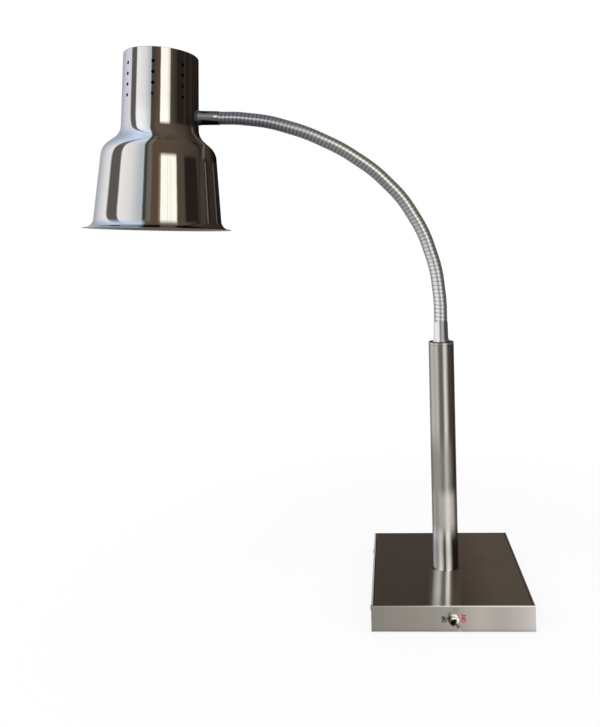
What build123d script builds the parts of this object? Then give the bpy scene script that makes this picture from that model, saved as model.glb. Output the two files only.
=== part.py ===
from build123d import *
from math import asin, cos, degrees, hypot, radians, sin, sqrt, tan
import os

# Food warming lamp on a box base. Lengths are millimetres, angles are degrees.
# The origin is on the table under the upright's axis. +Z is up, -X is towards the shade,
# -Y is the front, where the switch is.

# Base box: a cover (front, top and back) over a tray (bottom and sides)
BASE_WIDTH = 220.0
BASE_DEPTH = 220.0
BASE_TOP = 37.0
PAD_THICKNESS = 2.0
PAD_INSET = 6.0
COVER_SHEET = 1.2
TRAY_SHEET = 1.5
BEND_RADIUS = 2.0
HEM_HEIGHT = 10.0
SEAM = 0.8
SHEET_GAP = 0.3
TAB_LENGTH = 32.0
TAB_FOOT_GAP = 3.0
TAB_HEAD_GAP = 1.0

# Screws through the sides and under the ballast
SIDE_SCREW_INSET = 28.0
SIDE_SCREW_HEIGHT = 19.0
SIDE_SCREW_RADIUS = 2.0
SIDE_SCREW_LENGTH = 6.0
BALLAST_SCREW_RADIUS = 3.0
BALLAST_SCREW_INSET = 30.0
BALLAST_SCREW_BITE = 10.0
BALLAST_HOLE_SPARE = 2.0
BALLAST_HEAD_GAP = 0.3
PAD_HOLE_GAP = 1.0
SCREW_FIT = 0.05

# Pan head of a screw, as shares of its shank's radius and of its own radius and height
HEAD_RATIO = 1.95
HEAD_ROUNDING = 0.45
HEAD_FLAT = 0.7
RECESS_REACH = 0.6
RECESS_WIDTH = 0.44

# Ballast: two steel plates, with a channel between them for the electrics
BALLAST_THICKNESS = 16.0
BALLAST_LENGTH = 196.0
CHANNEL_WIDTH = 60.0
BALLAST_SIDE_GAP = 10.5
BALLAST_CHAMFER = 2.0

# Upright
POST_RADIUS = 19.0
POST_WALL = 1.5
POST_TOP = 375.0
CAP_THICKNESS = 4.0
CAP_SPIGOT = 6.0
CAP_CHAMFER = 1.0
PLUG_HEIGHT = 12.0
STUD_RADIUS = 8.0
STUD_BORE = 5.0
FIT = 0.05
BACKING_SIDE = 76.0
BACKING_THICKNESS = 3.0
BACKING_CHAMFER = 4.0
STUD_CLEARANCE = 0.2

# Flanged nuts on the hollow studs and spigots
NUT_FLATS = 24.0
NUT_HEIGHT = 9.5
FLANGE_RADIUS = 14.5
FLANGE_THICKNESS = 1.5
THREAD_END = 1.5

# Gooseneck: ribbed hose in nine lengths that turn on one another. RIB_SHAPE gives the four
# circles of a rib: their places as shares of the pitch, and the share of the rib's depth.
FERRULE_RADIUS = 11.0
FERRULE_LENGTH = 30.0
HEAD_FERRULE_LENGTH = 32.0
FERRULE_FLARE = 2.0
FERRULE_BORE = 4.0
HOSE_SPIGOT = 12.0
HOSE_RADIUS = 10.0
HOSE_BORE = 6.0
RIB_DEPTH = 1.0
RIB_PITCH = 4.0
RIB_SHAPE = ((0.125, 0), (0.375, 1), (0.70, 1), (0.95, 0))
JOINT_GAP = 0.25
FIRST_BEND = 5.8
LINK_BENDS = (11.9, 13.0, 13.5, 11.1, 8.7, 8.3, 10.3)
LAST_BEND = 5.5
LEAD_RADIUS = 3.0
LEAD_GAP = 0.3

# Rib counts of the hose's stretches
END_STRAIGHT = 5
FIRST_ARC = 5
LINK_ARC = 10
LAST_ARC = 4
BELOW_PIVOT = 2
ABOVE_PIVOT = 2
SEAT = 1

# Shade, in its own frame: origin at the middle of the rim, height along its axis
RIM_RADIUS = 109.0
BODY_FOOT_RADIUS = 94.9
BODY_HEAD_RADIUS = 84.1
SHOULDER_HEIGHT = 120.6
SHOULDER_RISE = 22.8
NECK_FOOT_RADIUS = 57.5
NECK_TOP_RADIUS = 55.5
SHADE_HEIGHT = 266.0
SHADE_SHEET = 1.0
RIM_CURVE = 14.0
SHOULDER_CURVE = 27.0
CROWN_CURVE = 5.0
FERRULE_HEIGHT = 171.5
VENT_RADIUS = 2.0
VENT_DROP = 22.0
VENT_RISE = 24.5
VENT_ROWS = 4
VENT_COLUMNS = 8
VENT_TURN = 8.0
SADDLE_RADIUS = 14.0
SADDLE_THICKNESS = 3.0
SEAM_ROOM = 1.5
SURFACE_GAP = 0.1

# Lampholder and its bracket
BRACKET_SHEET = 2.0
BRACKET_WIDTH = 24.0
BRACKET_DROP = 13.5
BRACKET_BOSS = 3.0
BRACKET_BOSS_RADIUS = 12.0
HOLDER_ROOM = 50.0
HOLDER_HEIGHT = 51.0
HOLDER_RADIUS = 23.0
HOLDER_CROWN = 14.0
HOLDER_SHOULDER = 13.0
HOLDER_EASE = 1.0
HOLDER_CAVITY = 14.9
HOLDER_ROOF_THICKNESS = 20.0
SHELL_SHEET = 0.6
SHELL_RECESS = 2.0
SHELL_HOLE = 7.5
CONTACT_RADIUS = 4.0
CONTACT_HEIGHT = 3.0
NIPPLE_RADIUS = 5.0
NIPPLE_BORE = 3.5
NIPPLE_SOCKET = 12.0
NIPPLE_FLATS = 15.0
NIPPLE_NUT_HEIGHT = 4.0
CONDUCTOR_RADIUS = 1.1
CONDUCTOR_SPACING = 1.6
CONDUCTOR_X = 28.0
CONDUCTOR_RISE = 26.0
BEND_SHARE = 0.45
WIRE_HOLE_GAP = 1.1

# Reflector bulb with a 27 mm screw cap: heights are measured from the tip of its cap
BULB_LENGTH = 181.0
BULB_RADIUS = 62.5
BULB_RIM_HEIGHT = 22.0
BULB_FACE_EDGE = 54.0
BULB_FACE_DEPTH = 9.0
BULB_NECK_RADIUS = 17.0
BULB_NECK_LENGTH = 67.0
BULB_NECK_STRAIGHT = 26.0
BULB_GLASS = 1.0
BULB_CAP_RADIUS = 13.3
BULB_CAP_LENGTH = 30.0
BULB_COLLAR = 1.0
BULB_TAIL = 4.0
CAP_LIP = 3.0
CAP_CONE = 2.0
CAP_FLOOR = 4.0
BULB_CAP_CROWN = 4.0
BULB_TIP_RADIUS = 4.5
BULB_TIP_EASE = 1.0
THREAD_START = 4.0
THREAD_PITCH = 3.6
THREAD_DEPTH = 0.7
THREAD_CREST = (0.35, 0.65)

# Toggle switch, measured outwards from the front wall
SWITCH_HEIGHT = 19.5
BUSHING_RADIUS = 6.0
BUSHING_BORE = 4.2
BUSHING_OUT = 8.0
SWITCH_FLATS = 14.0
SWITCH_NUT = 2.5
BACK_NUT = 3.8
BUSHING_CHAMFER = 0.6
BUSHING_FLANGE = 1.0
LEVER_LENGTH = 27.0
LEVER_TIP = 2.7
LEVER_NECK = 1.6
LEVER_BALL = 3.9
LEVER_TAIL = 12.0
TAIL_TAPER = 1.0
LEVER_REST = 15.0
LEVER_WAIST = 2.0
TAIL_TIP_RADIUS = 0.9
TAIL_TIP = 18.8
HOUSING_WIDTH = 28.0
HOUSING_HEIGHT = 15.0
HOUSING_DEPTH = 20.0
HOUSING_WALL = 1.5
HOUSING_CORNER = 1.0
HOUSING_FLOOR = 2.0
ROCKER_DEPTH = 20.0
ROCKER_WIDTH = 16.0
ROCKER_THICKNESS = 1.2
ROCKER_REST = 12.0
ROCKER_SIDE_GAP = 0.6
ROCKER_PIN = 1.0
PIN_RECESS = 0.2
PIN_FIT = 0.05
TERMINAL_WIDTH = 6.3
TERMINAL_SHEET = 0.8
TERMINAL_LENGTH = 9.0
TERMINAL_BITE = 3.5
TERMINAL_SPACING = 9.0

# Cable gland in the back wall, measured outwards from the wall
GLAND_HEIGHT = 19.0
GLAND_FLATS = 22.0
GLAND_THREAD = 8.0
GLAND_BORE = 5.0
GLAND_FLANGE = 5.0
GLAND_DOME = 16.0
GLAND_MOUTH = 4.5
GLAND_LOCKNUT = 4.0
GLAND_LIP = 2.0
GLAND_NOSE = 6.8
GLAND_NOSE_LENGTH = 3.0
GLAND_CONE = 1.1
GLAND_CONE_LENGTH = 4.0
SEAL_RADIUS = 6.8
SEAL_BORE = 3.6
SEAL_LENGTH = 10.0

# Terminal block and earth stud on the tray's floor
BLOCK_WIDTH = 32.0
BLOCK_DEPTH = 20.0
BLOCK_HEIGHT = 14.0
BLOCK_FRONT = 34.0
BLOCK_CURVE = 1.5
INSERT_RECESS = 1.0
WAY_SPACING = 9.0
INSERT_RADIUS = 3.2
INSERT_BORE = 1.8
INSERT_HEIGHT = 7.0
EARTH_X = 20.0
EARTH_Y = 14.0
EARTH_RADIUS = 2.5
EARTH_LENGTH = 14.0
EARTH_FLATS = 8.0
EARTH_NUT = 4.0
WIRE_RADIUS = 1.2
LEAD_BEND = 15.0
WIRE_BEND = 6.0
WIRE_STRAIGHT = 12.0
WIRE_SLOPE = 14.0

# How far a cut runs past the faces that it opens, and how far past the shade's curved wall
PAST = 1.0
WALL_PAST = 5.0

# Sizes that follow from the ones above
HALF_WIDTH = BASE_WIDTH / 2
HALF_DEPTH = BASE_DEPTH / 2
FLOOR = PAD_THICKNESS + TRAY_SHEET
CEILING = BASE_TOP - COVER_SHEET
HEM_INNER = HALF_WIDTH - 2 * TRAY_SHEET
HEM_CURVE = 0.9 * TRAY_SHEET
TAB_OUTER = HALF_WIDTH - TRAY_SHEET - SHEET_GAP
SIDE_SCREW_Y = HALF_DEPTH - SIDE_SCREW_INSET
BALLAST_INNER = CHANNEL_WIDTH / 2
BALLAST_OUTER = TAB_OUTER - BALLAST_SIDE_GAP
BALLAST_SCREW_X = (BALLAST_INNER + BALLAST_OUTER) / 2
BALLAST_SCREW_Y = BALLAST_LENGTH / 2 - BALLAST_SCREW_INSET
BALLAST_SCREW_HEAD = BALLAST_SCREW_RADIUS * HEAD_RATIO
POST_INNER = POST_RADIUS - POST_WALL
STUD_BOTTOM = CEILING - BACKING_THICKNESS - NUT_HEIGHT - THREAD_END
CAP_BOTTOM = POST_TOP - CAP_THICKNESS - CAP_SPIGOT
SPIGOT_END = CAP_BOTTOM - NUT_HEIGHT - THREAD_END
HOSE_START = POST_TOP + FERRULE_LENGTH
VALLEY_RADIUS = HOSE_RADIUS - RIB_DEPTH
DOME_RADIUS = hypot(ABOVE_PIVOT * RIB_PITCH, VALLEY_RADIUS)
CUP_RADIUS = DOME_RADIUS + JOINT_GAP
LINKS = len(LINK_BENDS)
NECK_FOOT_HEIGHT = SHOULDER_HEIGHT + SHOULDER_RISE
NECK_SLOPE = (NECK_TOP_RADIUS - NECK_FOOT_RADIUS) / (SHADE_HEIGHT - NECK_FOOT_HEIGHT)
FERRULE_WALL = NECK_FOOT_RADIUS + NECK_SLOPE * (FERRULE_HEIGHT - NECK_FOOT_HEIGHT)
SADDLE_FACE = FERRULE_WALL + SADDLE_THICKNESS
HOSE_END = SADDLE_FACE + HEAD_FERRULE_LENGTH
SHADE_SEAM = FERRULE_HEIGHT - SADDLE_RADIUS - SEAM_ROOM
VENT_TOP = SHADE_HEIGHT - VENT_DROP
VENT_PITCH = (VENT_TOP - FERRULE_HEIGHT - VENT_RISE) / (VENT_ROWS - 1)
NUT_FACE = FERRULE_WALL - SHADE_SHEET - BRACKET_SHEET - BRACKET_BOSS
HEAD_SPIGOT_END = NUT_FACE - NUT_HEIGHT - THREAD_END
HOLDER_TOP = SHADE_HEIGHT - HOLDER_ROOM
HOLDER_MOUTH = HOLDER_TOP - HOLDER_HEIGHT
HOLDER_ROOF = HOLDER_TOP - HOLDER_ROOF_THICKNESS
BRACKET_TOP = HOLDER_TOP + BRACKET_SHEET
BULB_TIP = HOLDER_ROOF - CONTACT_HEIGHT
BULB_FACE = BULB_TIP - BULB_LENGTH
FACE_CURVE = (BULB_FACE_EDGE ** 2 + BULB_FACE_DEPTH ** 2) / (2 * BULB_FACE_DEPTH)
BULB_CAP_FOOT = BULB_TIP - BULB_CAP_LENGTH
BULB_CAP_TOP = BULB_TIP - BULB_CAP_CROWN
GLASS_TAIL_RADIUS = BULB_CAP_RADIUS - THREAD_DEPTH - BULB_GLASS
HOUSING_TOP = -COVER_SHEET - BACK_NUT - BUSHING_FLANGE
HOUSING_BACK = HOUSING_TOP - HOUSING_DEPTH
GLAND_END = GLAND_FLANGE + GLAND_DOME
SEAL_END = GLAND_END - GLAND_LIP
SEAL_START = SEAL_END - SEAL_LENGTH
WAY_LEVEL = FLOOR + INSERT_HEIGHT


def upright_cylinder(radius, low, high):
    """Cylinder about the Z axis between two heights."""
    return Pos(0, 0, low) * Cylinder(radius, high - low, align=(Align.CENTER, Align.CENTER, Align.MIN))


def upright_tube(outer, inner, low, high):
    """Tube about the Z axis between two heights."""
    return upright_cylinder(outer, low, high) - upright_cylinder(inner, low - PAST, high + PAST)


def block(x, y, z):
    """Box between the two values given for each axis."""
    sides = (x[1] - x[0], y[1] - y[0], z[1] - z[0])
    return Pos(x[0], y[0], z[0]) * Box(*sides, align=(Align.MIN, Align.MIN, Align.MIN))


def turned(points):
    """Solid turned about the Z axis from an outline of (radius, height) points."""
    return revolve(Plane.XZ * make_face(Polyline(*points, close=True)), Axis.Z, 360)


def hex_nut(flats, bore, low, high):
    """Hexagon nut about the Z axis, with its corners turned off at both faces."""
    half = flats / 2
    corner = flats / sqrt(3)
    ease = (corner - half) * tan(radians(30))
    prism = Pos(0, 0, low) * extrude(RegularPolygon(half, 6, major_radius=False), high - low)
    barrel = turned([
        (0, low), (half, low), (corner, low + ease), (corner, high - ease), (half, high), (0, high)])
    return (prism & barrel) - upright_cylinder(bore, low - PAST, high + PAST)


def flange_nut(low, high):
    """Flanged nut of the hollow studs and spigots, with its flange at the top."""
    bore = STUD_RADIUS + FIT
    flange = upright_tube(FLANGE_RADIUS, bore, high - FLANGE_THICKNESS, high)
    return hex_nut(NUT_FLATS, bore, low, high - FLANGE_THICKNESS / 2) + flange


def pan_screw(radius, length, head_height):
    """Cross-recessed pan-head screw along Z: its head stands above height 0, its shank goes down."""
    head = radius * HEAD_RATIO
    rise = head_height * HEAD_ROUNDING
    crown = turned([
        (0, 0), (head, 0), (head, head_height - rise), (head * HEAD_FLAT, head_height), (0, head_height)])
    reach = head * RECESS_REACH
    half = radius * RECESS_WIDTH / 2
    cut = block((-reach, reach), (-half, half), (rise, head_height + PAST))
    recess = cut + Rot(0, 0, 90) * cut
    return crown - recess + upright_cylinder(radius, -length, 0)


def four_corners(x, y, z, piece):
    """Four copies of a piece at (+-x, +-y)."""
    return [Pos(sx * x, sy * y, z) * piece for sx in (-1, 1) for sy in (-1, 1)]


def smooth_tube(points, radius, bend):
    """Round wire or lead along straight runs joined by tangent arcs of one radius."""
    route = FilletPolyline(*points, radius=[bend] * (len(points) - 2))
    return sweep(Plane(route @ 0, z_dir=route % 0) * Circle(radius), path=route)


# Base box

def base_cover():
    """Front wall, top and back wall bent from one sheet, with tabs behind the tray's sides."""
    outer = Rectangle(BASE_DEPTH, BASE_TOP, align=(Align.CENTER, Align.MIN))
    outer = fillet(outer.vertices().group_by(Axis.Y)[-1], BEND_RADIUS)
    inner = Rectangle(BASE_DEPTH - 2 * COVER_SHEET, CEILING, align=(Align.CENTER, Align.MIN))
    inner = fillet(inner.vertices().group_by(Axis.Y)[-1], BEND_RADIUS - COVER_SHEET)
    skirt = Rectangle(BASE_DEPTH, PAD_THICKNESS + SHEET_GAP, align=(Align.CENTER, Align.MIN))
    cover = extrude(Plane.YZ * (outer - inner - skirt), HALF_WIDTH, both=True)
    clear_y = HALF_DEPTH - COVER_SHEET
    for side in (-1, 1):
        edge = sorted((side * (HEM_INNER - SEAM), side * (HALF_WIDTH + PAST)))
        cover -= block(edge, (-clear_y, clear_y), (CEILING - BEND_RADIUS, BASE_TOP + PAST))
        tab_x = sorted((side * TAB_OUTER, side * (TAB_OUTER - COVER_SHEET)))
        tab_z = (FLOOR + TAB_FOOT_GAP, BASE_TOP - HEM_HEIGHT - TAB_HEAD_GAP)
        for end in (-1, 1):
            tab_y = sorted((end * (clear_y + COVER_SHEET / 2), end * (clear_y - TAB_LENGTH)))
            cover += block(tab_x, tab_y, tab_z)
    cover -= upright_cylinder(STUD_RADIUS + STUD_CLEARANCE, CEILING - PAST, BASE_TOP + PAST)
    cover -= switch_place() * upright_cylinder(BUSHING_RADIUS + STUD_CLEARANCE, -COVER_SHEET - PAST, PAST)
    cover -= gland_place() * upright_cylinder(GLAND_THREAD + STUD_CLEARANCE, -COVER_SHEET - PAST, PAST)
    for screw in side_screw_places():
        cover -= screw * upright_cylinder(SIDE_SCREW_RADIUS + SCREW_FIT, -SIDE_SCREW_LENGTH - PAST, PAST)
    return cover


def base_tray():
    """Bottom and sides bent from one sheet, with a folded hem along the top of each side."""
    outer = Pos(0, PAD_THICKNESS) * Rectangle(
        BASE_WIDTH, BASE_TOP - PAD_THICKNESS, align=(Align.CENTER, Align.MIN))
    outer = fillet(outer.vertices().group_by(Axis.Y)[0], BEND_RADIUS)
    outer = fillet(outer.vertices().group_by(Axis.Y)[-1], HEM_CURVE)
    inner = Pos(0, FLOOR) * Rectangle(
        BASE_WIDTH - 2 * TRAY_SHEET, BASE_TOP - HEM_HEIGHT - FLOOR, align=(Align.CENTER, Align.MIN))
    mouth = Pos(0, FLOOR) * Rectangle(2 * HEM_INNER, BASE_TOP, align=(Align.CENTER, Align.MIN))
    profile = outer - inner - mouth
    hem_tops = profile.vertices().group_by(Axis.Y)[-1].filter_by(lambda v: abs(abs(v.X) - HEM_INNER) < 0.01)
    profile = fillet(hem_tops, HEM_CURVE)
    tray = extrude(Plane.XZ * profile, HALF_DEPTH - COVER_SHEET - SHEET_GAP, both=True)
    for screw in side_screw_places():
        tray -= screw * upright_cylinder(SIDE_SCREW_RADIUS + SCREW_FIT, -TRAY_SHEET - PAST, PAST)
    screw_hole = upright_cylinder(BALLAST_SCREW_RADIUS + SCREW_FIT, PAD_THICKNESS - PAST, FLOOR + PAST)
    for hole in four_corners(BALLAST_SCREW_X, BALLAST_SCREW_Y, 0, screw_hole):
        tray -= hole
    earth_hole = upright_cylinder(EARTH_RADIUS + SCREW_FIT, PAD_THICKNESS - PAST, FLOOR + PAST)
    return tray - Pos(EARTH_X, EARTH_Y) * earth_hole


def base_pad():
    """Rubber sheet under the tray, with holes round the ballast screws' heads."""
    pad = block(
        (PAD_INSET - HALF_WIDTH, HALF_WIDTH - PAD_INSET),
        (PAD_INSET - HALF_DEPTH, HALF_DEPTH - PAD_INSET),
        (0, PAD_THICKNESS))
    pad = fillet(pad.edges().filter_by(Axis.Z), PAD_INSET)
    head_hole = upright_cylinder(BALLAST_SCREW_HEAD + PAD_HOLE_GAP, -PAST, PAD_THICKNESS + PAST)
    for hole in four_corners(BALLAST_SCREW_X, BALLAST_SCREW_Y, 0, head_hole):
        pad -= hole
    return pad


def side_screw_places():
    """Frames of the four side screws: Z points out of the box."""
    places = []
    for side in (-1, 1):
        for end in (-1, 1):
            spot = (side * HALF_WIDTH, end * SIDE_SCREW_Y, SIDE_SCREW_HEIGHT)
            places.append(Location(spot, (0, side * 90, 0)))
    return places


def side_screws():
    """Four pan-head screws that hold the cover's tabs to the tray's sides."""
    screw = pan_screw(SIDE_SCREW_RADIUS, SIDE_SCREW_LENGTH, SIDE_SCREW_RADIUS)
    return Compound([place * screw for place in side_screw_places()])


def ballast_plates():
    """Two steel plates on the tray's floor, left and right of the channel."""
    plates = []
    hole_top = FLOOR + BALLAST_SCREW_BITE + BALLAST_HOLE_SPARE
    hole = upright_cylinder(BALLAST_SCREW_RADIUS + SCREW_FIT, FLOOR - PAST, hole_top)
    for side in (-1, 1):
        x = sorted((side * BALLAST_INNER, side * BALLAST_OUTER))
        plate = block(x, (-BALLAST_LENGTH / 2, BALLAST_LENGTH / 2), (FLOOR, FLOOR + BALLAST_THICKNESS))
        plate = chamfer(plate.edges().filter_by(Axis.Z), BALLAST_CHAMFER)
        for end in (-1, 1):
            plate -= Pos(side * BALLAST_SCREW_X, end * BALLAST_SCREW_Y) * hole
        plates.append(plate)
    return Compound(plates)


def ballast_screws():
    """Four low-headed screws up through the tray into the ballast."""
    head_height = PAD_THICKNESS - BALLAST_HEAD_GAP
    screw = Rot(180, 0, 0) * pan_screw(BALLAST_SCREW_RADIUS, TRAY_SHEET + BALLAST_SCREW_BITE, head_height)
    return Compound(four_corners(BALLAST_SCREW_X, BALLAST_SCREW_Y, PAD_THICKNESS, screw))


# Upright and what holds it

def post_tube():
    """Tube of the upright, from the cover to the cap."""
    return upright_tube(POST_RADIUS, POST_INNER, BASE_TOP, POST_TOP - CAP_THICKNESS)


def post_cap():
    """Cap on the tube: a chamfered disc, with a spigot inside the tube and a hole for the ferrule."""
    seam = POST_TOP - CAP_THICKNESS
    bore = STUD_RADIUS + FIT
    return turned([
        (bore, CAP_BOTTOM), (POST_INNER - FIT, CAP_BOTTOM), (POST_INNER - FIT, seam), (POST_RADIUS, seam),
        (POST_RADIUS, POST_TOP - CAP_CHAMFER), (POST_RADIUS - CAP_CHAMFER, POST_TOP), (bore, POST_TOP)])


def post_plug():
    """Plug in the foot of the tube, which holds the stud."""
    return upright_tube(POST_INNER - FIT, STUD_RADIUS + FIT, BASE_TOP, BASE_TOP + PLUG_HEIGHT)


def post_stud():
    """Hollow threaded stud through the cover."""
    return upright_tube(STUD_RADIUS, STUD_BORE, STUD_BOTTOM, BASE_TOP + PLUG_HEIGHT)


def post_backing_plate():
    """Square plate that spreads the upright's load under the cover."""
    half = BACKING_SIDE / 2
    plate = block((-half, half), (-half, half), (CEILING - BACKING_THICKNESS, CEILING))
    plate = chamfer(plate.edges().filter_by(Axis.Z), BACKING_CHAMFER)
    return plate - upright_cylinder(STUD_RADIUS + STUD_CLEARANCE, 0, BASE_TOP)


def post_nut():
    """Flanged nut on the stud."""
    top = CEILING - BACKING_THICKNESS
    return flange_nut(top - NUT_HEIGHT, top)


# Gooseneck

def neck_runs():
    """Straight and bent stretches of the neck, bottom to top: rib count and bend of each."""
    runs = [(END_STRAIGHT, 0), (FIRST_ARC, FIRST_BEND), (BELOW_PIVOT, 0)]
    for bend in LINK_BENDS:
        runs += [(ABOVE_PIVOT + SEAT, 0), (LINK_ARC, bend), (BELOW_PIVOT, 0)]
    runs += [(ABOVE_PIVOT + SEAT, 0), (LAST_ARC, LAST_BEND), (END_STRAIGHT, 0)]
    return runs


def neck_station(ribs):
    """Place on the centreline after a number of ribs: x, z and the heading from upright."""
    x, z, heading = 0.0, HOSE_START, 0.0
    for count, bend in neck_runs():
        step = min(count, ribs)
        turn = bend * step / count
        chord = step * RIB_PITCH
        if turn:
            chord = 2 * (chord / radians(turn)) * sin(radians(turn) / 2)
        x -= chord * sin(radians(heading + turn / 2))
        z += chord * cos(radians(heading + turn / 2))
        heading += turn
        ribs -= step
        if ribs <= 0:
            break
    return x, z, heading


def neck_plane(ribs):
    """Plane across the neck after a number of ribs."""
    x, z, heading = neck_station(ribs)
    return Plane((x, 0, z), x_dir=(0, 1, 0), z_dir=(-sin(radians(heading)), 0, cos(radians(heading))))


def pivot_ribs(number):
    """Rib count from the hose's foot to pivot 1, 2, 3 and so on."""
    link = ABOVE_PIVOT + SEAT + LINK_ARC + BELOW_PIVOT
    return END_STRAIGHT + FIRST_ARC + BELOW_PIVOT + (number - 1) * link


NECK_RIBS = pivot_ribs(LINKS + 1) + ABOVE_PIVOT + SEAT + LAST_ARC + END_STRAIGHT


def rib_points(first, count):
    """Radius and place, in ribs, of the four circles of each rib."""
    return [(VALLEY_RADIUS + RIB_DEPTH * rise, first + rib + share)
            for rib in range(count) for share, rise in RIB_SHAPE]


def straight_hose(start, count):
    """Straight ribbed stretch that begins a number of ribs up the neck."""
    outline = [(HOSE_BORE, 0), (VALLEY_RADIUS, 0)]
    outline += [(radius, place * RIB_PITCH) for radius, place in rib_points(0, count)]
    outline += [(VALLEY_RADIUS, count * RIB_PITCH), (HOSE_BORE, count * RIB_PITCH)]
    return neck_plane(start) * turned(outline)


def bent_hose(start, count, bend):
    """Bent ribbed stretch: a ruled loft through the ribs' circles, bored along its arc."""
    rings = [(VALLEY_RADIUS, start)] + rib_points(start, count) + [(VALLEY_RADIUS, start + count)]
    outer = loft([neck_plane(place) * Circle(radius) for radius, place in rings], ruled=True)
    return outer - bent_rod(start, count, bend, HOSE_BORE)


def bent_rod(start, count, bend, radius):
    """Plain round rod along a bent stretch of the neck."""
    x, z, heading = neck_station(start)
    sweep_radius = count * RIB_PITCH / radians(bend)
    centre = (x - sweep_radius * cos(radians(heading)), 0, z - sweep_radius * sin(radians(heading)))
    return revolve(neck_plane(start) * Circle(radius), Axis(centre, (0, -1, 0)), bend)


def dome_end(pivot):
    """Ribbed collar round a pivot, whose upper end is part of a ball about that pivot."""
    low = -BELOW_PIVOT * RIB_PITCH
    top = sqrt(DOME_RADIUS ** 2 - HOSE_BORE ** 2)
    middle = (VALLEY_RADIUS + HOSE_BORE) / 2
    count = BELOW_PIVOT + ABOVE_PIVOT
    ribs = [(radius, place * RIB_PITCH) for radius, place in rib_points(-BELOW_PIVOT, count)]
    side = Polyline((HOSE_BORE, top), (HOSE_BORE, low), (VALLEY_RADIUS, low), *ribs,
                    (VALLEY_RADIUS, ABOVE_PIVOT * RIB_PITCH))
    crown = ThreePointArc(side @ 1, (middle, sqrt(DOME_RADIUS ** 2 - middle ** 2)), side @ 0)
    return neck_plane(pivot) * revolve(Plane.XZ * make_face(side + crown), Axis.Z, 360)


def cup_end(pivot):
    """Ribbed seat above a pivot, whose lower end is a hollow ball surface about that pivot."""
    foot = sqrt(CUP_RADIUS ** 2 - VALLEY_RADIUS ** 2)
    top = (ABOVE_PIVOT + SEAT) * RIB_PITCH
    middle = (VALLEY_RADIUS + HOSE_BORE) / 2
    inner = sqrt(CUP_RADIUS ** 2 - HOSE_BORE ** 2)
    ribs = [(radius, place * RIB_PITCH) for radius, place in rib_points(ABOVE_PIVOT, SEAT)]
    ribs = [point for point in ribs if point[1] > foot]
    side = Polyline((VALLEY_RADIUS, foot), *ribs, (VALLEY_RADIUS, top), (HOSE_BORE, top), (HOSE_BORE, inner))
    hollow = ThreePointArc(side @ 1, (middle, sqrt(CUP_RADIUS ** 2 - middle ** 2)), side @ 0)
    return neck_plane(pivot) * revolve(Plane.XZ * make_face(side + hollow), Axis.Z, 360)


def hose(number):
    """One ribbed length of the gooseneck, from 0 at the foot to the last one at the shade."""
    arc_start, arc, bend = hose_arc(number)
    piece = cup_end(pivot_ribs(number)) if number else straight_hose(0, END_STRAIGHT)
    piece += bent_hose(arc_start, arc, bend)
    if number <= LINKS:
        return piece + dome_end(pivot_ribs(number + 1))
    return piece + straight_hose(arc_start + arc, END_STRAIGHT)


def hose_arc(number):
    """Start, rib count and bend of the arc in one length of the gooseneck."""
    if number == 0:
        return END_STRAIGHT, FIRST_ARC, FIRST_BEND
    start = pivot_ribs(number) + ABOVE_PIVOT + SEAT
    if number <= LINKS:
        return start, LINK_ARC, LINK_BENDS[number - 1]
    return start, LAST_ARC, LAST_BEND


def straight_rod(start, count, radius):
    """Plain round rod along a straight stretch of the neck."""
    return neck_plane(start) * upright_cylinder(radius, 0, count * RIB_PITCH)


def lead(number):
    """Sheathed lead inside one length of the hose, with a ball end at its upper pivot."""
    arc_start, arc, bend = hose_arc(number)
    if number == 0:
        piece = upright_cylinder(LEAD_RADIUS, SPIGOT_END, HOSE_START + END_STRAIGHT * RIB_PITCH)
    else:
        pivot = pivot_ribs(number)
        piece = straight_rod(pivot, ABOVE_PIVOT + SEAT, LEAD_RADIUS)
        piece -= neck_plane(pivot) * Sphere(LEAD_RADIUS + LEAD_GAP)
    piece += bent_rod(arc_start, arc, bend, LEAD_RADIUS)
    if number <= LINKS:
        piece += straight_rod(arc_start + arc, BELOW_PIVOT, LEAD_RADIUS)
        return piece + neck_plane(pivot_ribs(number + 1)) * Sphere(LEAD_RADIUS)
    run = END_STRAIGHT * RIB_PITCH + HOSE_END - HEAD_SPIGOT_END
    return piece + neck_plane(arc_start + arc) * upright_cylinder(LEAD_RADIUS, 0, run)


def ferrule(foot, length, thread_length):
    """Turned ferrule along Z: a flared body, a spigot into the hose and a threaded spigot below."""
    top = foot + length
    flare = FERRULE_RADIUS + FERRULE_FLARE
    ease = FERRULE_FLARE / 2
    return turned([
        (FERRULE_BORE, foot - thread_length), (STUD_RADIUS, foot - thread_length), (STUD_RADIUS, foot),
        (flare, foot), (flare, foot + ease), (FERRULE_RADIUS, foot + ease + 2 * FERRULE_FLARE),
        (FERRULE_RADIUS, top - ease), (FERRULE_RADIUS - ease, top), (HOSE_BORE - FIT, top),
        (HOSE_BORE - FIT, top + HOSE_SPIGOT), (FERRULE_BORE, top + HOSE_SPIGOT)])


def lower_locknut():
    """Flanged nut of the lower ferrule, under the cap."""
    return flange_nut(CAP_BOTTOM - NUT_HEIGHT, CAP_BOTTOM)


# Shade and lampholder, in the shade's frame

def head_place():
    """Frame of the shade: its X axis runs back along the upper ferrule to the hose's end."""
    x, z, heading = neck_station(NECK_RIBS)
    tilt = 90 - heading
    along = Location((x, 0, z), (0, tilt, 0))
    return along * Pos(-HOSE_END, 0, -FERRULE_HEIGHT)


def side_place():
    """Frame of the upper ferrule in the shade's frame: Z runs outwards from the shade's axis."""
    return Pos(0, 0, FERRULE_HEIGHT) * Rot(0, 90, 0)


def neck_radius(height):
    """Outer radius of the shade's narrow neck at a height."""
    return NECK_FOOT_RADIUS + NECK_SLOPE * (height - NECK_FOOT_HEIGHT)


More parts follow.
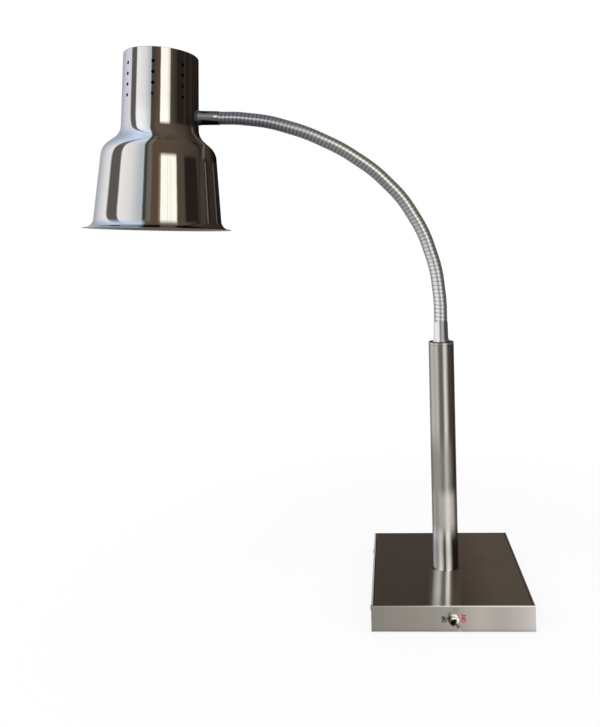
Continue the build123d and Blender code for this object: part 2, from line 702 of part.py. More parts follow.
def neck_cone(offset, low, high):
    """Solid cone that follows the neck's outside at an offset."""
    return turned([
        (0, low), (neck_radius(low) + offset, low), (neck_radius(high) + offset, high), (0, high)])


def shade_outline():
    """Outside of the shade from its rim to the middle of its top."""
    return FilletPolyline(
        (RIM_RADIUS, 0), (BODY_FOOT_RADIUS, 0), (BODY_HEAD_RADIUS, SHOULDER_HEIGHT),
        (NECK_FOOT_RADIUS, NECK_FOOT_HEIGHT), (NECK_TOP_RADIUS, SHADE_HEIGHT), (0, SHADE_HEIGHT),
        radius=(RIM_CURVE, SHOULDER_CURVE, SHOULDER_CURVE, CROWN_CURVE))


def shade_form(clearance):
    """Solid that fills the shade from its rim to its top, larger by a clearance."""
    line = offset(shade_outline(), clearance, side=Side.RIGHT, closed=False)
    rim, top = sorted((line @ 0, line @ 1), key=lambda end: end.Y)
    closing = Polyline(top, (0, rim.Y), rim)
    return revolve(Plane.XZ * make_face([line, closing]), Axis.Z, 360)


def shade_wall():
    """Spun wall of the shade: flared rim, tapered body, rounded shoulder, neck and closed top."""
    wall = make_face(offset(shade_outline(), SHADE_SHEET, side=Side.LEFT))
    return revolve(Plane.XZ * wall, Axis.Z, 360)


def shade_body():
    """The shade from its rim to the seam, where the neck goes on as a solid of its own."""
    return shade_wall() & upright_cylinder(RIM_RADIUS + PAST, -SHADE_SHEET - PAST, SHADE_SEAM)


def shade_neck():
    """The shade above the seam, with its vents and the hole for the upper ferrule."""
    neck = shade_wall() & upright_cylinder(RIM_RADIUS + PAST, SHADE_SEAM, SHADE_HEIGHT + PAST)
    inside = NECK_TOP_RADIUS - WALL_PAST
    outside = NECK_FOOT_RADIUS + WALL_PAST
    vent = Rot(0, 90, 0) * upright_cylinder(VENT_RADIUS, inside, outside)
    vents = []
    for column in range(VENT_COLUMNS):
        turn = Rot(0, 0, VENT_TURN + column * 360 / VENT_COLUMNS)
        for row in range(VENT_ROWS):
            vents.append(turn * Pos(0, 0, VENT_TOP - row * VENT_PITCH) * vent)
    spigot_hole = side_place() * upright_cylinder(STUD_RADIUS + STUD_CLEARANCE, inside, outside)
    return neck - vents - spigot_hole


def saddle():
    """Saddle between the flat ferrule and the round neck."""
    ring = side_place() * upright_tube(
        SADDLE_RADIUS, STUD_RADIUS + STUD_CLEARANCE, NECK_TOP_RADIUS - WALL_PAST, SADDLE_FACE)
    return ring - shade_form(SURFACE_GAP)


def holder_bracket():
    """Angle bracket: a bossed leg that follows the inside of the neck and an arm over the lampholder."""
    foot = FERRULE_HEIGHT - BRACKET_DROP
    face = -SHADE_SHEET - SURFACE_GAP
    middle = face - BRACKET_SHEET / 2
    inner = neck_cone(face - BRACKET_SHEET, foot - PAST, BRACKET_TOP + PAST)
    half = BRACKET_WIDTH / 2
    leg = neck_cone(face, foot, BRACKET_TOP) - inner
    leg &= block((0, RIM_RADIUS), (-half, half), (foot - PAST, BRACKET_TOP + PAST))
    arm = block((-half, RIM_RADIUS), (-half, half), (HOLDER_TOP, BRACKET_TOP))
    arm &= neck_cone(middle, foot, BRACKET_TOP)
    boss = side_place() * upright_cylinder(BRACKET_BOSS_RADIUS, NUT_FACE, FERRULE_WALL)
    boss &= neck_cone(middle, foot - BRACKET_BOSS_RADIUS, BRACKET_TOP)
    spigot_hole = side_place() * upright_cylinder(STUD_RADIUS + STUD_CLEARANCE, NUT_FACE - PAST, FERRULE_WALL)
    nipple_hole = upright_cylinder(NIPPLE_RADIUS + STUD_CLEARANCE, HOLDER_TOP - PAST, BRACKET_TOP + PAST)
    wire_reach = CONDUCTOR_SPACING + CONDUCTOR_RADIUS + WIRE_HOLE_GAP
    wire_hole = Pos(CONDUCTOR_X, 0) * upright_cylinder(wire_reach, HOLDER_TOP - PAST, BRACKET_TOP + PAST)
    return leg + arm + boss - spigot_hole - nipple_hole - wire_hole


def head_nut():
    """Flanged nut on the upper ferrule's spigot."""
    return side_place() * flange_nut(NUT_FACE - NUT_HEIGHT, NUT_FACE)


def lampholder():
    """Lampholder body with its cavity for the bulb's cap and a hole for the nipple."""
    body = turned([
        (0, HOLDER_MOUTH), (HOLDER_RADIUS, HOLDER_MOUTH), (HOLDER_RADIUS, HOLDER_TOP - HOLDER_SHOULDER),
        (HOLDER_CROWN + HOLDER_EASE, HOLDER_TOP - HOLDER_EASE), (HOLDER_CROWN, HOLDER_TOP), (0, HOLDER_TOP)])
    body -= upright_cylinder(HOLDER_CAVITY, HOLDER_MOUTH - PAST, HOLDER_ROOF)
    return body - upright_cylinder(NIPPLE_RADIUS + FIT, HOLDER_TOP - NIPPLE_SOCKET, HOLDER_TOP + PAST)


def holder_shell():
    """Threaded brass shell in the lampholder's cavity."""
    outer = HOLDER_CAVITY - FIT
    inner = outer - SHELL_SHEET
    foot = HOLDER_MOUTH + SHELL_RECESS
    roof = HOLDER_ROOF - SHELL_SHEET
    return turned([
        (outer, foot), (outer, HOLDER_ROOF), (SHELL_HOLE, HOLDER_ROOF), (SHELL_HOLE, roof), (inner, roof),
        (inner, foot)])


def centre_contact():
    """Contact at the cavity's roof that the bulb's tip presses."""
    return upright_cylinder(CONTACT_RADIUS, BULB_TIP, HOLDER_ROOF)


def holder_nipple():
    """Hollow nipple from the lampholder up through the bracket's arm, and its nut."""
    nut_top = BRACKET_TOP + NIPPLE_NUT_HEIGHT
    nipple = upright_tube(NIPPLE_RADIUS, NIPPLE_BORE, HOLDER_TOP - NIPPLE_SOCKET, nut_top + THREAD_END)
    nut = hex_nut(NIPPLE_FLATS, NIPPLE_RADIUS + FIT, BRACKET_TOP, nut_top)
    return Compound([nipple, nut])


def conductors():
    """Two insulated conductors from the lead's end, over the bracket's arm and into the nipple."""
    top = HOLDER_TOP + CONDUCTOR_RISE
    route = [
        (HEAD_SPIGOT_END, FERRULE_HEIGHT), (CONDUCTOR_X, FERRULE_HEIGHT), (CONDUCTOR_X, top),
        (0, top), (0, HOLDER_TOP - NIPPLE_SOCKET)]
    corners = [BEND_SHARE * run for run in (HEAD_SPIGOT_END - CONDUCTOR_X, CONDUCTOR_X, CONDUCTOR_X)]
    pair = []
    for y in (-CONDUCTOR_SPACING, CONDUCTOR_SPACING):
        path = FilletPolyline(*[(x, y, z) for x, z in route], radius=corners)
        pair.append(sweep(Plane(path @ 0, z_dir=path % 0) * Circle(CONDUCTOR_RADIUS), path=path))
    return Compound(pair)


def bulb_form(inset):
    """Solid inside the bulb's skin at an inset: domed face, round rim, tapered back and neck."""
    face = BULB_FACE + inset
    rim = (BULB_RADIUS - inset, BULB_FACE + BULB_RIM_HEIGHT)
    waist = (BULB_NECK_RADIUS - inset, BULB_TIP - BULB_NECK_LENGTH)
    collar = (GLASS_TAIL_RADIUS - inset, BULB_CAP_FOOT - BULB_COLLAR)
    middle = ((rim[0] + waist[0]) / 2, (rim[1] + waist[1]) / 2)
    dome = JernArc((0, face), (1, 0), FACE_CURVE, degrees(asin(BULB_FACE_EDGE / FACE_CURVE)))
    edge = TangentArc(dome @ 1, rim, tangent=dome % 1)
    back = Spline(edge @ 1, middle, waist, tangents=[edge % 1, (0, 1)])
    neck = Line(waist, (waist[0], waist[1] + BULB_NECK_STRAIGHT))
    shoulder = Spline(neck @ 1, collar, tangents=[(0, 1), (0, 1)])
    top = BULB_CAP_FOOT + BULB_TAIL
    tail = Polyline(collar, (collar[0], top), (0, top), (0, face))
    return revolve(Plane.XZ * make_face([dome, edge, back, neck, shoulder, tail]), Axis.Z, 360)


def bulb_glass():
    """Blown reflector bulb, open at the neck where the cap takes it."""
    mouth = upright_cylinder(GLASS_TAIL_RADIUS - BULB_GLASS, BULB_CAP_FOOT, BULB_TIP)
    return bulb_form(0) - bulb_form(BULB_GLASS) - mouth


def bulb_cap():
    """Screw cap of the bulb, with rolled threads and a contact tip."""
    root = BULB_CAP_RADIUS - THREAD_DEPTH
    thread = []
    for turn in range(int((BULB_CAP_TOP - CAP_CONE - BULB_CAP_FOOT - THREAD_START) / THREAD_PITCH)):
        foot = BULB_CAP_FOOT + THREAD_START + turn * THREAD_PITCH
        thread += [(root, foot)] + [(BULB_CAP_RADIUS, foot + share * THREAD_PITCH) for share in THREAD_CREST]
    core = GLASS_TAIL_RADIUS + FIT
    return turned([
        (core, BULB_CAP_FOOT), (BULB_CAP_RADIUS, BULB_CAP_FOOT),
        (BULB_CAP_RADIUS, BULB_CAP_FOOT + CAP_LIP), *thread,
        (root, BULB_CAP_TOP - CAP_CONE), (SHELL_HOLE, BULB_CAP_TOP),
        (BULB_TIP_RADIUS, BULB_TIP - BULB_TIP_EASE),
        (BULB_TIP_RADIUS - BULB_TIP_EASE, BULB_TIP), (0, BULB_TIP), (0, BULB_CAP_TOP - CAP_FLOOR),
        (core, BULB_CAP_TOP - CAP_FLOOR - CAP_CONE)])


# Toggle switch, in a frame whose Z points out of the front wall

def switch_place():
    """Frame of the switch: Z out of the front wall, Y up."""
    return Location((0, -HALF_DEPTH, SWITCH_HEIGHT), (90, 0, 0))


def switch_bushing():
    """Threaded bushing with its square flange, bored for the lever."""
    half = HOUSING_HEIGHT / 2
    flange = block((-half, half), (-half, half), (HOUSING_TOP, HOUSING_TOP + BUSHING_FLANGE))
    body = upright_cylinder(BUSHING_RADIUS, HOUSING_TOP, BUSHING_OUT)
    body = chamfer(body.edges().group_by(Axis.Z)[-1], BUSHING_CHAMFER)
    return flange + body - upright_cylinder(BUSHING_BORE, HOUSING_TOP - PAST, BUSHING_OUT + PAST)


def switch_nuts():
    """Nut in front of the wall and nut behind it."""
    bore = BUSHING_RADIUS + FIT
    front = hex_nut(SWITCH_FLATS, bore, 0, SWITCH_NUT)
    back = hex_nut(SWITCH_FLATS, bore, -COVER_SHEET - BACK_NUT, -COVER_SHEET)
    return Compound([front, back])


def switch_housing():
    """Moulded housing, hollow for the rocker, with slots for the terminals."""
    half_w = HOUSING_WIDTH / 2
    half_h = HOUSING_HEIGHT / 2
    shell = block((-half_w, half_w), (-half_h, half_h), (HOUSING_BACK, HOUSING_TOP))
    shell = fillet(shell.edges().filter_by(Axis.Z), HOUSING_CORNER)
    shell -= block(
        (HOUSING_WALL - half_w, half_w - HOUSING_WALL), (HOUSING_WALL - half_h, half_h - HOUSING_WALL),
        (HOUSING_BACK + HOUSING_FLOOR, HOUSING_TOP - HOUSING_WALL))
    shell -= upright_cylinder(BUSHING_BORE, HOUSING_TOP - HOUSING_WALL - PAST, HOUSING_TOP + PAST)
    for x in (-TERMINAL_SPACING, TERMINAL_SPACING):
        shell -= terminal(x, FIT)
    pin_hole = Rot(90, 0, 0) * Cylinder(ROCKER_PIN + PIN_FIT, HOUSING_HEIGHT + 2 * PAST)
    return shell - Pos(0, 0, -ROCKER_DEPTH) * pin_hole


def terminal(x, room):
    """Blade through the back of the housing, or its slot where room is given."""
    half_w = TERMINAL_SHEET / 2 + room
    half_h = TERMINAL_WIDTH / 2 + room
    return block(
        (x - half_w, x + half_w), (-half_h, half_h),
        (HOUSING_BACK - TERMINAL_LENGTH, HOUSING_BACK + TERMINAL_BITE))


def switch_terminals():
    """Two blades out of the back of the housing."""
    return Compound([terminal(x, 0) for x in (-TERMINAL_SPACING, TERMINAL_SPACING)])


def switch_lever():
    """Lever with its ball in the bushing and a tapered tail inside, thrown to the ON side."""
    tail_end = TAIL_TIP_RADIUS - TAIL_TIP
    shoulder = LEVER_LENGTH - LEVER_TIP
    profile = Polyline(
        (0, shoulder), (0, tail_end), (TAIL_TIP_RADIUS, tail_end), (TAIL_TIP_RADIUS, -LEVER_TAIL),
        (LEVER_NECK, TAIL_TAPER - LEVER_TAIL), (LEVER_NECK, BUSHING_OUT),
        (LEVER_WAIST, (BUSHING_OUT + shoulder) / 2), (LEVER_TIP, shoulder), close=True)
    lever = revolve(Plane.XZ * make_face(profile), Axis.Z, 360) + Pos(0, 0, shoulder) * Sphere(LEVER_TIP)
    lever += Sphere(LEVER_BALL)
    lever += Pos(0, 0, tail_end) * Sphere(TAIL_TIP_RADIUS)
    return Rot(0, LEVER_REST, 0) * lever


def switch_rocker():
    """Contact rocker on its cross pin, tilted as the lever has left it."""
    half_h = HOUSING_HEIGHT / 2 - HOUSING_WALL - ROCKER_SIDE_GAP
    plate = Box(ROCKER_WIDTH, 2 * half_h, ROCKER_THICKNESS)
    pin = Rot(90, 0, 0) * Cylinder(ROCKER_PIN, HOUSING_HEIGHT - 2 * PIN_RECESS)
    return Pos(0, 0, -ROCKER_DEPTH) * Rot(0, -ROCKER_REST, 0) * (plate + pin)


# Cable gland, in a frame whose Z points out of the back wall

def gland_place():
    """Frame of the gland: Z out of the back wall."""
    return Location((0, HALF_DEPTH, GLAND_HEIGHT), (-90, 0, 0))


def gland_body():
    """Gland body: hexagon flange outside, thread through the wall and a collar for the dome nut."""
    inside = -COVER_SHEET - GLAND_LOCKNUT - THREAD_END
    body = hex_nut(GLAND_FLATS, GLAND_BORE, 0, GLAND_FLANGE)
    body += upright_tube(GLAND_THREAD, GLAND_BORE, inside, GLAND_FLANGE / 2)
    return body + upright_tube(GLAND_THREAD, GLAND_BORE, GLAND_FLANGE / 2, SEAL_START)


def gland_locknut():
    """Locknut behind the back wall."""
    return hex_nut(GLAND_FLATS, GLAND_THREAD + FIT, -COVER_SHEET - GLAND_LOCKNUT, -COVER_SHEET)


def gland_dome():
    """Domed nut with the cable's mouth at its end."""
    radius = GLAND_FLATS / 2
    cone = GLAND_END - GLAND_NOSE_LENGTH
    return turned([
        (GLAND_THREAD + FIT, GLAND_FLANGE), (radius, GLAND_FLANGE), (radius, cone - GLAND_CONE_LENGTH),
        (radius - GLAND_CONE, cone), (GLAND_NOSE, GLAND_END), (GLAND_MOUTH, GLAND_END),
        (GLAND_MOUTH, SEAL_END),
        (SEAL_RADIUS + FIT, SEAL_END), (SEAL_RADIUS + FIT, SEAL_START), (GLAND_THREAD + FIT, SEAL_START)])


def gland_seal():
    """Rubber ring that grips the cable."""
    return upright_tube(SEAL_RADIUS, SEAL_BORE, SEAL_START, SEAL_END)


# Electrics on the tray's floor

def ways():
    """Frames of the terminal block's three ways: Z runs back from its front face."""
    return [Pos(x, BLOCK_FRONT, WAY_LEVEL) * Rot(-90, 0, 0) for x in (-WAY_SPACING, 0, WAY_SPACING)]


def terminal_block():
    """Moulded block with three push-in ways."""
    half = BLOCK_WIDTH / 2
    body = block((-half, half), (BLOCK_FRONT, BLOCK_FRONT + BLOCK_DEPTH), (FLOOR, FLOOR + BLOCK_HEIGHT))
    body = fillet(body.edges().filter_by(Axis.Y).group_by(Axis.Z)[-1], BLOCK_CURVE)
    return body - [way * upright_cylinder(INSERT_RADIUS + FIT, -PAST, BLOCK_DEPTH + PAST) for way in ways()]


def terminal_inserts():
    """Three brass tubes in the block's ways."""
    insert = upright_tube(INSERT_RADIUS, INSERT_BORE, INSERT_RECESS, BLOCK_DEPTH - INSERT_RECESS)
    return Compound([way * insert for way in ways()])


def earth_stud():
    """Earth stud up through the tray, and its nut."""
    place = Pos(EARTH_X, EARTH_Y)
    stud = place * upright_cylinder(EARTH_RADIUS, PAD_THICKNESS, PAD_THICKNESS + EARTH_LENGTH)
    nut = place * hex_nut(EARTH_FLATS, EARTH_RADIUS + FIT, FLOOR, FLOOR + EARTH_NUT)
    return Compound([stud, nut])


def post_lead():
    """Sheathed lead down the upright and along the floor to the terminal block."""
    route = [(0, 0, SPIGOT_END - LEAD_GAP), (0, 0, WAY_LEVEL), (0, BLOCK_FRONT, WAY_LEVEL)]
    return smooth_tube(route, LEAD_RADIUS, LEAD_BEND)


def switch_wires():
    """Two wires from the switch's terminals to the terminal block."""
    start = TERMINAL_LENGTH - HALF_DEPTH - HOUSING_BACK
    straight = start + WIRE_STRAIGHT
    wires = []
    for terminal_x, way_x in ((-TERMINAL_SPACING, -WAY_SPACING), (TERMINAL_SPACING, WAY_SPACING)):
        route = [
            (terminal_x, start, SWITCH_HEIGHT), (terminal_x, straight, SWITCH_HEIGHT),
            (way_x, straight + WIRE_SLOPE, WAY_LEVEL), (way_x, BLOCK_FRONT + INSERT_RECESS, WAY_LEVEL)]
        wires.append(smooth_tube(route, WIRE_RADIUS, WIRE_BEND))
    return Compound(wires)


def build():
    """Every node of the lamp by name."""
    head = head_place()
    switch = switch_place()
    gland = gland_place()
    lower_thread = POST_TOP - SPIGOT_END
    head_thread = SADDLE_FACE - HEAD_SPIGOT_END
    nodes = {
        "base_cover": base_cover(),
        "base_tray": base_tray(),
        "base_pad": base_pad(),
        "side_screws": side_screws(),
        "ballast_plates": ballast_plates(),
        "ballast_screws": ballast_screws(),
        "post_tube": post_tube(),
        "post_cap": post_cap(),
        "post_plug": post_plug(),
        "post_stud": post_stud(),
        "post_backing_plate": post_backing_plate(),
        "post_nut": post_nut(),
        "lower_ferrule": ferrule(POST_TOP, FERRULE_LENGTH, lower_thread),
        "lower_locknut": lower_locknut(),
        "upper_ferrule": head * side_place() * ferrule(SADDLE_FACE, HEAD_FERRULE_LENGTH, head_thread),
        "shade_body": head * shade_body(),
        "shade_neck": head * shade_neck(),
        "shade_saddle": head * saddle(),
        "holder_bracket": head * holder_bracket(),
        "head_nut": head * head_nut(),
        "lampholder": head * lampholder(),
        "holder_shell": head * holder_shell(),
        "centre_contact": head * centre_contact(),
        "holder_nipple": head * holder_nipple(),
        "head_conductors": head * conductors(),
        "bulb_glass": head * bulb_glass(),
        "bulb_cap": head * bulb_cap(),
        "switch_bushing": switch * switch_bushing(),
        "switch_nuts": switch * switch_nuts(),
        "switch_housing": switch * switch_housing(),
        "switch_terminals": switch * switch_terminals(),
        "switch_lever": switch * switch_lever(),
        "switch_rocker": switch * switch_rocker(),
        "gland_body": gland * gland_body(),
        "gland_locknut": gland * gland_locknut(),
        "gland_dome": gland * gland_dome(),
        "gland_seal": gland * gland_seal(),
        "terminal_block": terminal_block(),
        "terminal_inserts": terminal_inserts(),
        "earth_stud": earth_stud(),
        "post_lead": post_lead(),
        "switch_wires": switch_wires(),
    }
    for number in range(LINKS + 2):
        nodes[f"hose_{number}"] = hose(number)
        nodes[f"lead_{number}"] = lead(number)
    return nodes


os.makedirs("parts", exist_ok=True)
for name, solid in build().items():
    export_step(solid, f"parts/{name}.step")
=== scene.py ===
import math

import bmesh
import bpy
import numpy as np
from bpy.props import FloatProperty, FloatVectorProperty, IntProperty, PointerProperty
from mathutils import Matrix, Vector


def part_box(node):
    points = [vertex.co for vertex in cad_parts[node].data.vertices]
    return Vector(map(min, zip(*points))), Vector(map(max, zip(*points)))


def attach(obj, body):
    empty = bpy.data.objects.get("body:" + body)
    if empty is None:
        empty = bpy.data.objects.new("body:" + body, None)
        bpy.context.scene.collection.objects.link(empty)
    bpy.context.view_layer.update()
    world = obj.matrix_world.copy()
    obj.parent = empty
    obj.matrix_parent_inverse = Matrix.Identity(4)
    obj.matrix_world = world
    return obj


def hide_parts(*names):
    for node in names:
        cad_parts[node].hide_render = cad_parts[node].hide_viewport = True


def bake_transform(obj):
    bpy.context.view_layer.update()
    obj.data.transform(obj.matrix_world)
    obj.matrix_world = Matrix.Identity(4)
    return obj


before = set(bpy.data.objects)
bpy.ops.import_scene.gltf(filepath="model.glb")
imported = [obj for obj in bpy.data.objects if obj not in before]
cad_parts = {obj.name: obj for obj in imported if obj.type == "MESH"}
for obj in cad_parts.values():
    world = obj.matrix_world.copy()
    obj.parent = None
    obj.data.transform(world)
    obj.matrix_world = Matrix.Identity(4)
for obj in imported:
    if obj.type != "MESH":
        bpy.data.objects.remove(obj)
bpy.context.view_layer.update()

bl_info = {
    "name": "Food warming lamp",
    "version": (1, 0, 0),
    "blender": (4, 5, 0),
    "location": "View3D > Sidebar > Warming lamp",
    "description": "Dresses the warming lamp's frame with its smooth pieces and finishes",
    "category": "Object",
}

# Lengths are metres. The origin is on the table under the upright, +Z is up,
# -X is towards the shade and -Y is the front.
MM = 0.001
IMAGE = (600, 727)

# Gooseneck: rib counts and bends of its runs, as in the frame
RIB_PITCH = 4 * MM
BAND_PITCH = 6 * MM
BAND_DEPTH = 0.35 * MM
HOSE_RADIUS = 10 * MM
HOSE_BORE = 6 * MM
END_STRAIGHT = 5
FIRST_ARC = 5
FIRST_BEND = 5.8
BELOW_PIVOT = 2
ABOVE_PIVOT = 3
LINK_ARC = 10
LINK_BENDS = (11.9, 13.0, 13.5, 11.1, 8.7, 8.3, 10.3)
LAST_ARC = 4
LAST_BEND = 5.5
FIRST_PIVOT = END_STRAIGHT + FIRST_ARC + BELOW_PIVOT
PIVOT_STEP = ABOVE_PIVOT + LINK_ARC + BELOW_PIVOT
PIVOT_COUNT = len(LINK_BENDS) + 1

# Upright and ferrules
POST_RADIUS = 19 * MM
POST_TOP = 375 * MM
POST_WALL = 1.5 * MM
CAP_THICKNESS = 4 * MM
CAP_CHAMFER = 1 * MM
FERRULE_RADIUS = 11 * MM
FERRULE_FLARE = 2 * MM
LOWER_FERRULE = 30 * MM
UPPER_FERRULE = 32 * MM

# Shade, in its own frame: heights are above its rim
SHADE_HEIGHT = 266 * MM
SHADE_CORNERS = ((108.5, 0), (94.9, 0), (84.1, 120.6), (57.5, 143.4), (55.5, 266), (0, 266))
SHADE_CURVES = (14, 27, 27, 2.5)
SHADE_SHEET = 1 * MM
NECK_FOOT = (57.5 * MM, 143.4 * MM)
NECK_TOP = (55.5 * MM, 266 * MM)
FERRULE_HEIGHT = 171.5 * MM
SADDLE_THICKNESS = 3 * MM
SADDLE_RADIUS = 14 * MM
SADDLE_SEAT = 1.2 * MM
VENT_RADIUS = 2.6 * MM
VENT_COLUMNS = 8
VENT_TURN = 8.0
VENT_HEIGHTS = (196 * MM, 212 * MM, 228 * MM, 244 * MM)

# Base box
BASE_HALF = 110 * MM
BASE_TOP = 37 * MM


def srgb(code):
    """Scene-linear colour of a six-digit sRGB code."""
    parts = [int(code[i:i + 2], 16) / 255 for i in (0, 2, 4)]
    return tuple(c / 12.92 if c <= 0.04045 else ((c + 0.055) / 1.055) ** 2.4 for c in parts)


def length(label, words, default):
    """Property of a length in metres."""
    return FloatProperty(
        name=label, description=words, default=default, min=0.0, subtype="DISTANCE", unit="LENGTH")


def paint(label, words, code):
    """Property of a colour, from its sRGB code."""
    return FloatVectorProperty(
        name=label, description=words, default=srgb(code), size=3, min=0.0, max=1.0, subtype="COLOR")


class LampSizes(bpy.types.PropertyGroup):
    """Sizes of the pieces that this script makes."""
    band_depth: length("Band depth", "Depth of the grooves between the gooseneck's bands", BAND_DEPTH)
    sheet: length("Shade sheet", "Thickness of the shade's metal", SHADE_SHEET)
    ring_count: IntProperty(
        name="Ring count", description="Faces round a turned piece", default=96, min=24, max=256)


class LampColours(bpy.types.PropertyGroup):
    """Colours of the lamp's metals as the surroundings tint them, painted in as reflections, and of the
    printed marks.
    """
    sky: paint("Sky", "Pale lilac sky in the left side of the metal", "d2d3dc")
    shoulder_sky: paint("Shoulder sky", "Pale blue of the shoulder's left side", "bccbdf")
    cloud: paint("Cloud", "Nearly white part of the sky", "e6e4e4")
    haze: paint("Haze", "Blue-grey edge of the sky", "b0b6ba")
    cream: paint("Cream", "Bright window in the metal", "fdfaee")
    ivory: paint("Ivory", "Softer light beside the window", "d5cfc4")
    white_steel: paint("White steel", "Brightest satin metal", "d8d6d4")
    pale_steel: paint("Pale steel", "Pale satin metal", "b7b4ad")
    light_steel: paint("Light steel", "Light satin metal", "a5a39c")
    steel: paint("Steel", "Plain satin metal", "8d8b86")
    dull_steel: paint("Dull steel", "Duller satin metal", "75736d")
    dark_steel: paint("Dark steel", "Dark satin metal", "605d55")
    chrome: paint("Chrome", "Light cool grey of the gooseneck", "a4a5a8")
    dull_chrome: paint("Dull chrome", "Cool grey of the gooseneck's inner side", "78797b")
    gun_blue: paint("Gun blue", "Blue-grey of the gooseneck's upper end", "565a60")
    stripe: paint("Stripe", "Dark upright stripe in the sky", "5a5551")
    slate: paint("Slate", "Thin dark line in the metal", "424141")
    olive: paint("Olive", "Green-grey beside the line", "67635a")
    moss: paint("Moss", "Dark green-grey beside the window", "4c463b")
    brown: paint("Brown", "Brown ground in the metal", "54483d")
    rust: paint("Rust", "Reddish edge of the window", "8f6a56")
    bark: paint("Bark", "Dark brown of the right side", "443a32")
    umber: paint("Umber", "Darker brown towards the right edge", "342c27")
    pitch: paint("Pitch", "Nearly black of the right side", "241f1b")
    black: paint("Black", "Darkest edge of the metal", "0d0907")
    glint: paint("Glint", "Thin light line in the dark side", "77726c")
    red: paint("Red", "Printed mark of the ON side", "b02f3f")
    dark_print: paint("Dark print", "Printed mark of the OFF side", "1d1b1a")


def sizes():
    """Sizes set in the scene."""
    return bpy.context.scene.lamp_sizes


def tint(name):
    """Colour of the palette by its name, or of a six-digit sRGB code."""
    palette = bpy.context.scene.lamp_colours
    return tuple(getattr(palette, name)) if hasattr(palette, name) else srgb(name)


def scaled(colour, factor):
    """A colour times a factor, at most white."""
    return tuple(min(1.0, part * factor) for part in colour)


# Places


def neck_runs():
    """Rib count and bend of each straight or bent run of the gooseneck, from its foot."""
    runs = [(END_STRAIGHT, 0.0), (FIRST_ARC, FIRST_BEND), (BELOW_PIVOT, 0.0)]
    for bend in LINK_BENDS:
        runs += [(ABOVE_PIVOT, 0.0), (LINK_ARC, bend), (BELOW_PIVOT, 0.0)]
    runs += [(ABOVE_PIVOT, 0.0), (LAST_ARC, LAST_BEND), (END_STRAIGHT, 0.0)]
    return np.array(runs)


NECK_RIBS = int(neck_runs()[:, 0].sum())


def neck_line(places):
    """Centreline of the gooseneck at places counted in ribs: points and headings from upright.
    A point lies one chord beyond the start of its run, along the heading half way to it, and the
    chord is the length run along the arc times the sine of half the turn over half the turn."""
    counts, bends = neck_runs().T
    bends = np.radians(bends)
    edges = np.concatenate([[0], np.cumsum(counts)])
    turns = np.concatenate([[0], np.cumsum(bends)])
    middle = (turns[:-1] + turns[1:]) / 2
    chords = counts * RIB_PITCH * np.sinc(bends / 2 / np.pi)
    steps = chords[:, None] * np.stack([-np.sin(middle), np.cos(middle)], 1)
    foot = np.array([[0, POST_TOP + LOWER_FERRULE]])
    starts = np.concatenate([foot, foot + np.cumsum(steps, 0)])
    run = np.clip(np.searchsorted(edges, places, side="right") - 1, 0, len(counts) - 1)
    past = places - edges[run]
    turned = bends[run] * past / counts[run]
    half = turns[run] + turned / 2
    chord = past * RIB_PITCH * np.sinc(turned / 2 / np.pi)
    x = starts[run, 0] - chord * np.sin(half)
    z = starts[run, 1] + chord * np.cos(half)
    return np.stack([x, np.zeros_like(x), z], -1), turns[run] + turned


def neck_place(rib):
    """Point and heading of the gooseneck at one place."""
    points, headings = neck_line(np.array([float(rib)]))
    return points[0], float(headings[0])


def head_frame():
    """Frame of the shade: its X axis runs back along the upper ferrule to the gooseneck's end."""
    point, heading = neck_place(NECK_RIBS)
    turn = Matrix.Rotation(math.pi / 2 - heading, 4, "Y")
    wall = neck_radius(FERRULE_HEIGHT)
    reach = wall + SADDLE_THICKNESS + UPPER_FERRULE
    return Matrix.Translation(Vector(point)) @ turn @ Matrix.Translation((-reach, 0, -FERRULE_HEIGHT))


def neck_radius(height):
    """Outer radius of the shade's neck at a height."""
    share = (height - NECK_FOOT[1]) / (NECK_TOP[1] - NECK_FOOT[1])
    return NECK_FOOT[0] + share * (NECK_TOP[0] - NECK_FOOT[0])


HEAD = head_frame()
SIDE = HEAD @ Matrix.Translation((0, 0, FERRULE_HEIGHT)) @ Matrix.Rotation(math.pi / 2, 4, "Y")


# Shapes


ARC_DEGREES = 4.0


def rounded_outline(corners, curves):
    """Points along straight runs joined by arcs. Each arc starts its radius times the tangent of
    half the turn before its corner, and has a point every few degrees."""
    corners = np.array(corners, float)
    parts = [corners[:1]]
    for before, corner, after, radius in zip(corners, corners[1:], corners[2:], curves):
        come = (corner - before) / np.linalg.norm(corner - before)
        go = (after - corner) / np.linalg.norm(after - corner)
        angle = math.atan2(come[0] * go[1] - come[1] * go[0], come @ go)
        back = radius * math.tan(abs(angle) / 2)
        side = math.copysign(1.0, angle)
        normal = side * np.array([-come[1], come[0]])
        centre = corner - come * back + normal * radius
        swing = np.linspace(0, angle, max(3, int(math.degrees(abs(angle)) / ARC_DEGREES)) + 1)
        arm = -normal * radius
        arc = np.stack([arm[0] * np.cos(swing) - arm[1] * np.sin(swing),
                        arm[0] * np.sin(swing) + arm[1] * np.cos(swing)], 1)
        parts.append(centre + arc)
    parts.append(corners[-1:])
    return np.concatenate(parts)


def along(line):
    """Length along a line of points up to each of them."""
    return np.concatenate([[0], np.cumsum(np.linalg.norm(np.diff(line, axis=0), axis=1))])


def grid_faces(rows, columns, wrap_rows=False, wrap_columns=True):
    """Quads between neighbours of a grid of points; wrapping joins the last line to the first."""
    i = np.arange(rows if wrap_rows else rows - 1)
    j = np.arange(columns if wrap_columns else columns - 1)
    i, j = np.meshgrid(i, j, indexing="ij")
    down, right = (i + 1) % rows, (j + 1) % columns
    corners = [i * columns + j, i * columns + right, down * columns + right, down * columns + j]
    return np.stack(corners, -1).reshape(-1, 4)


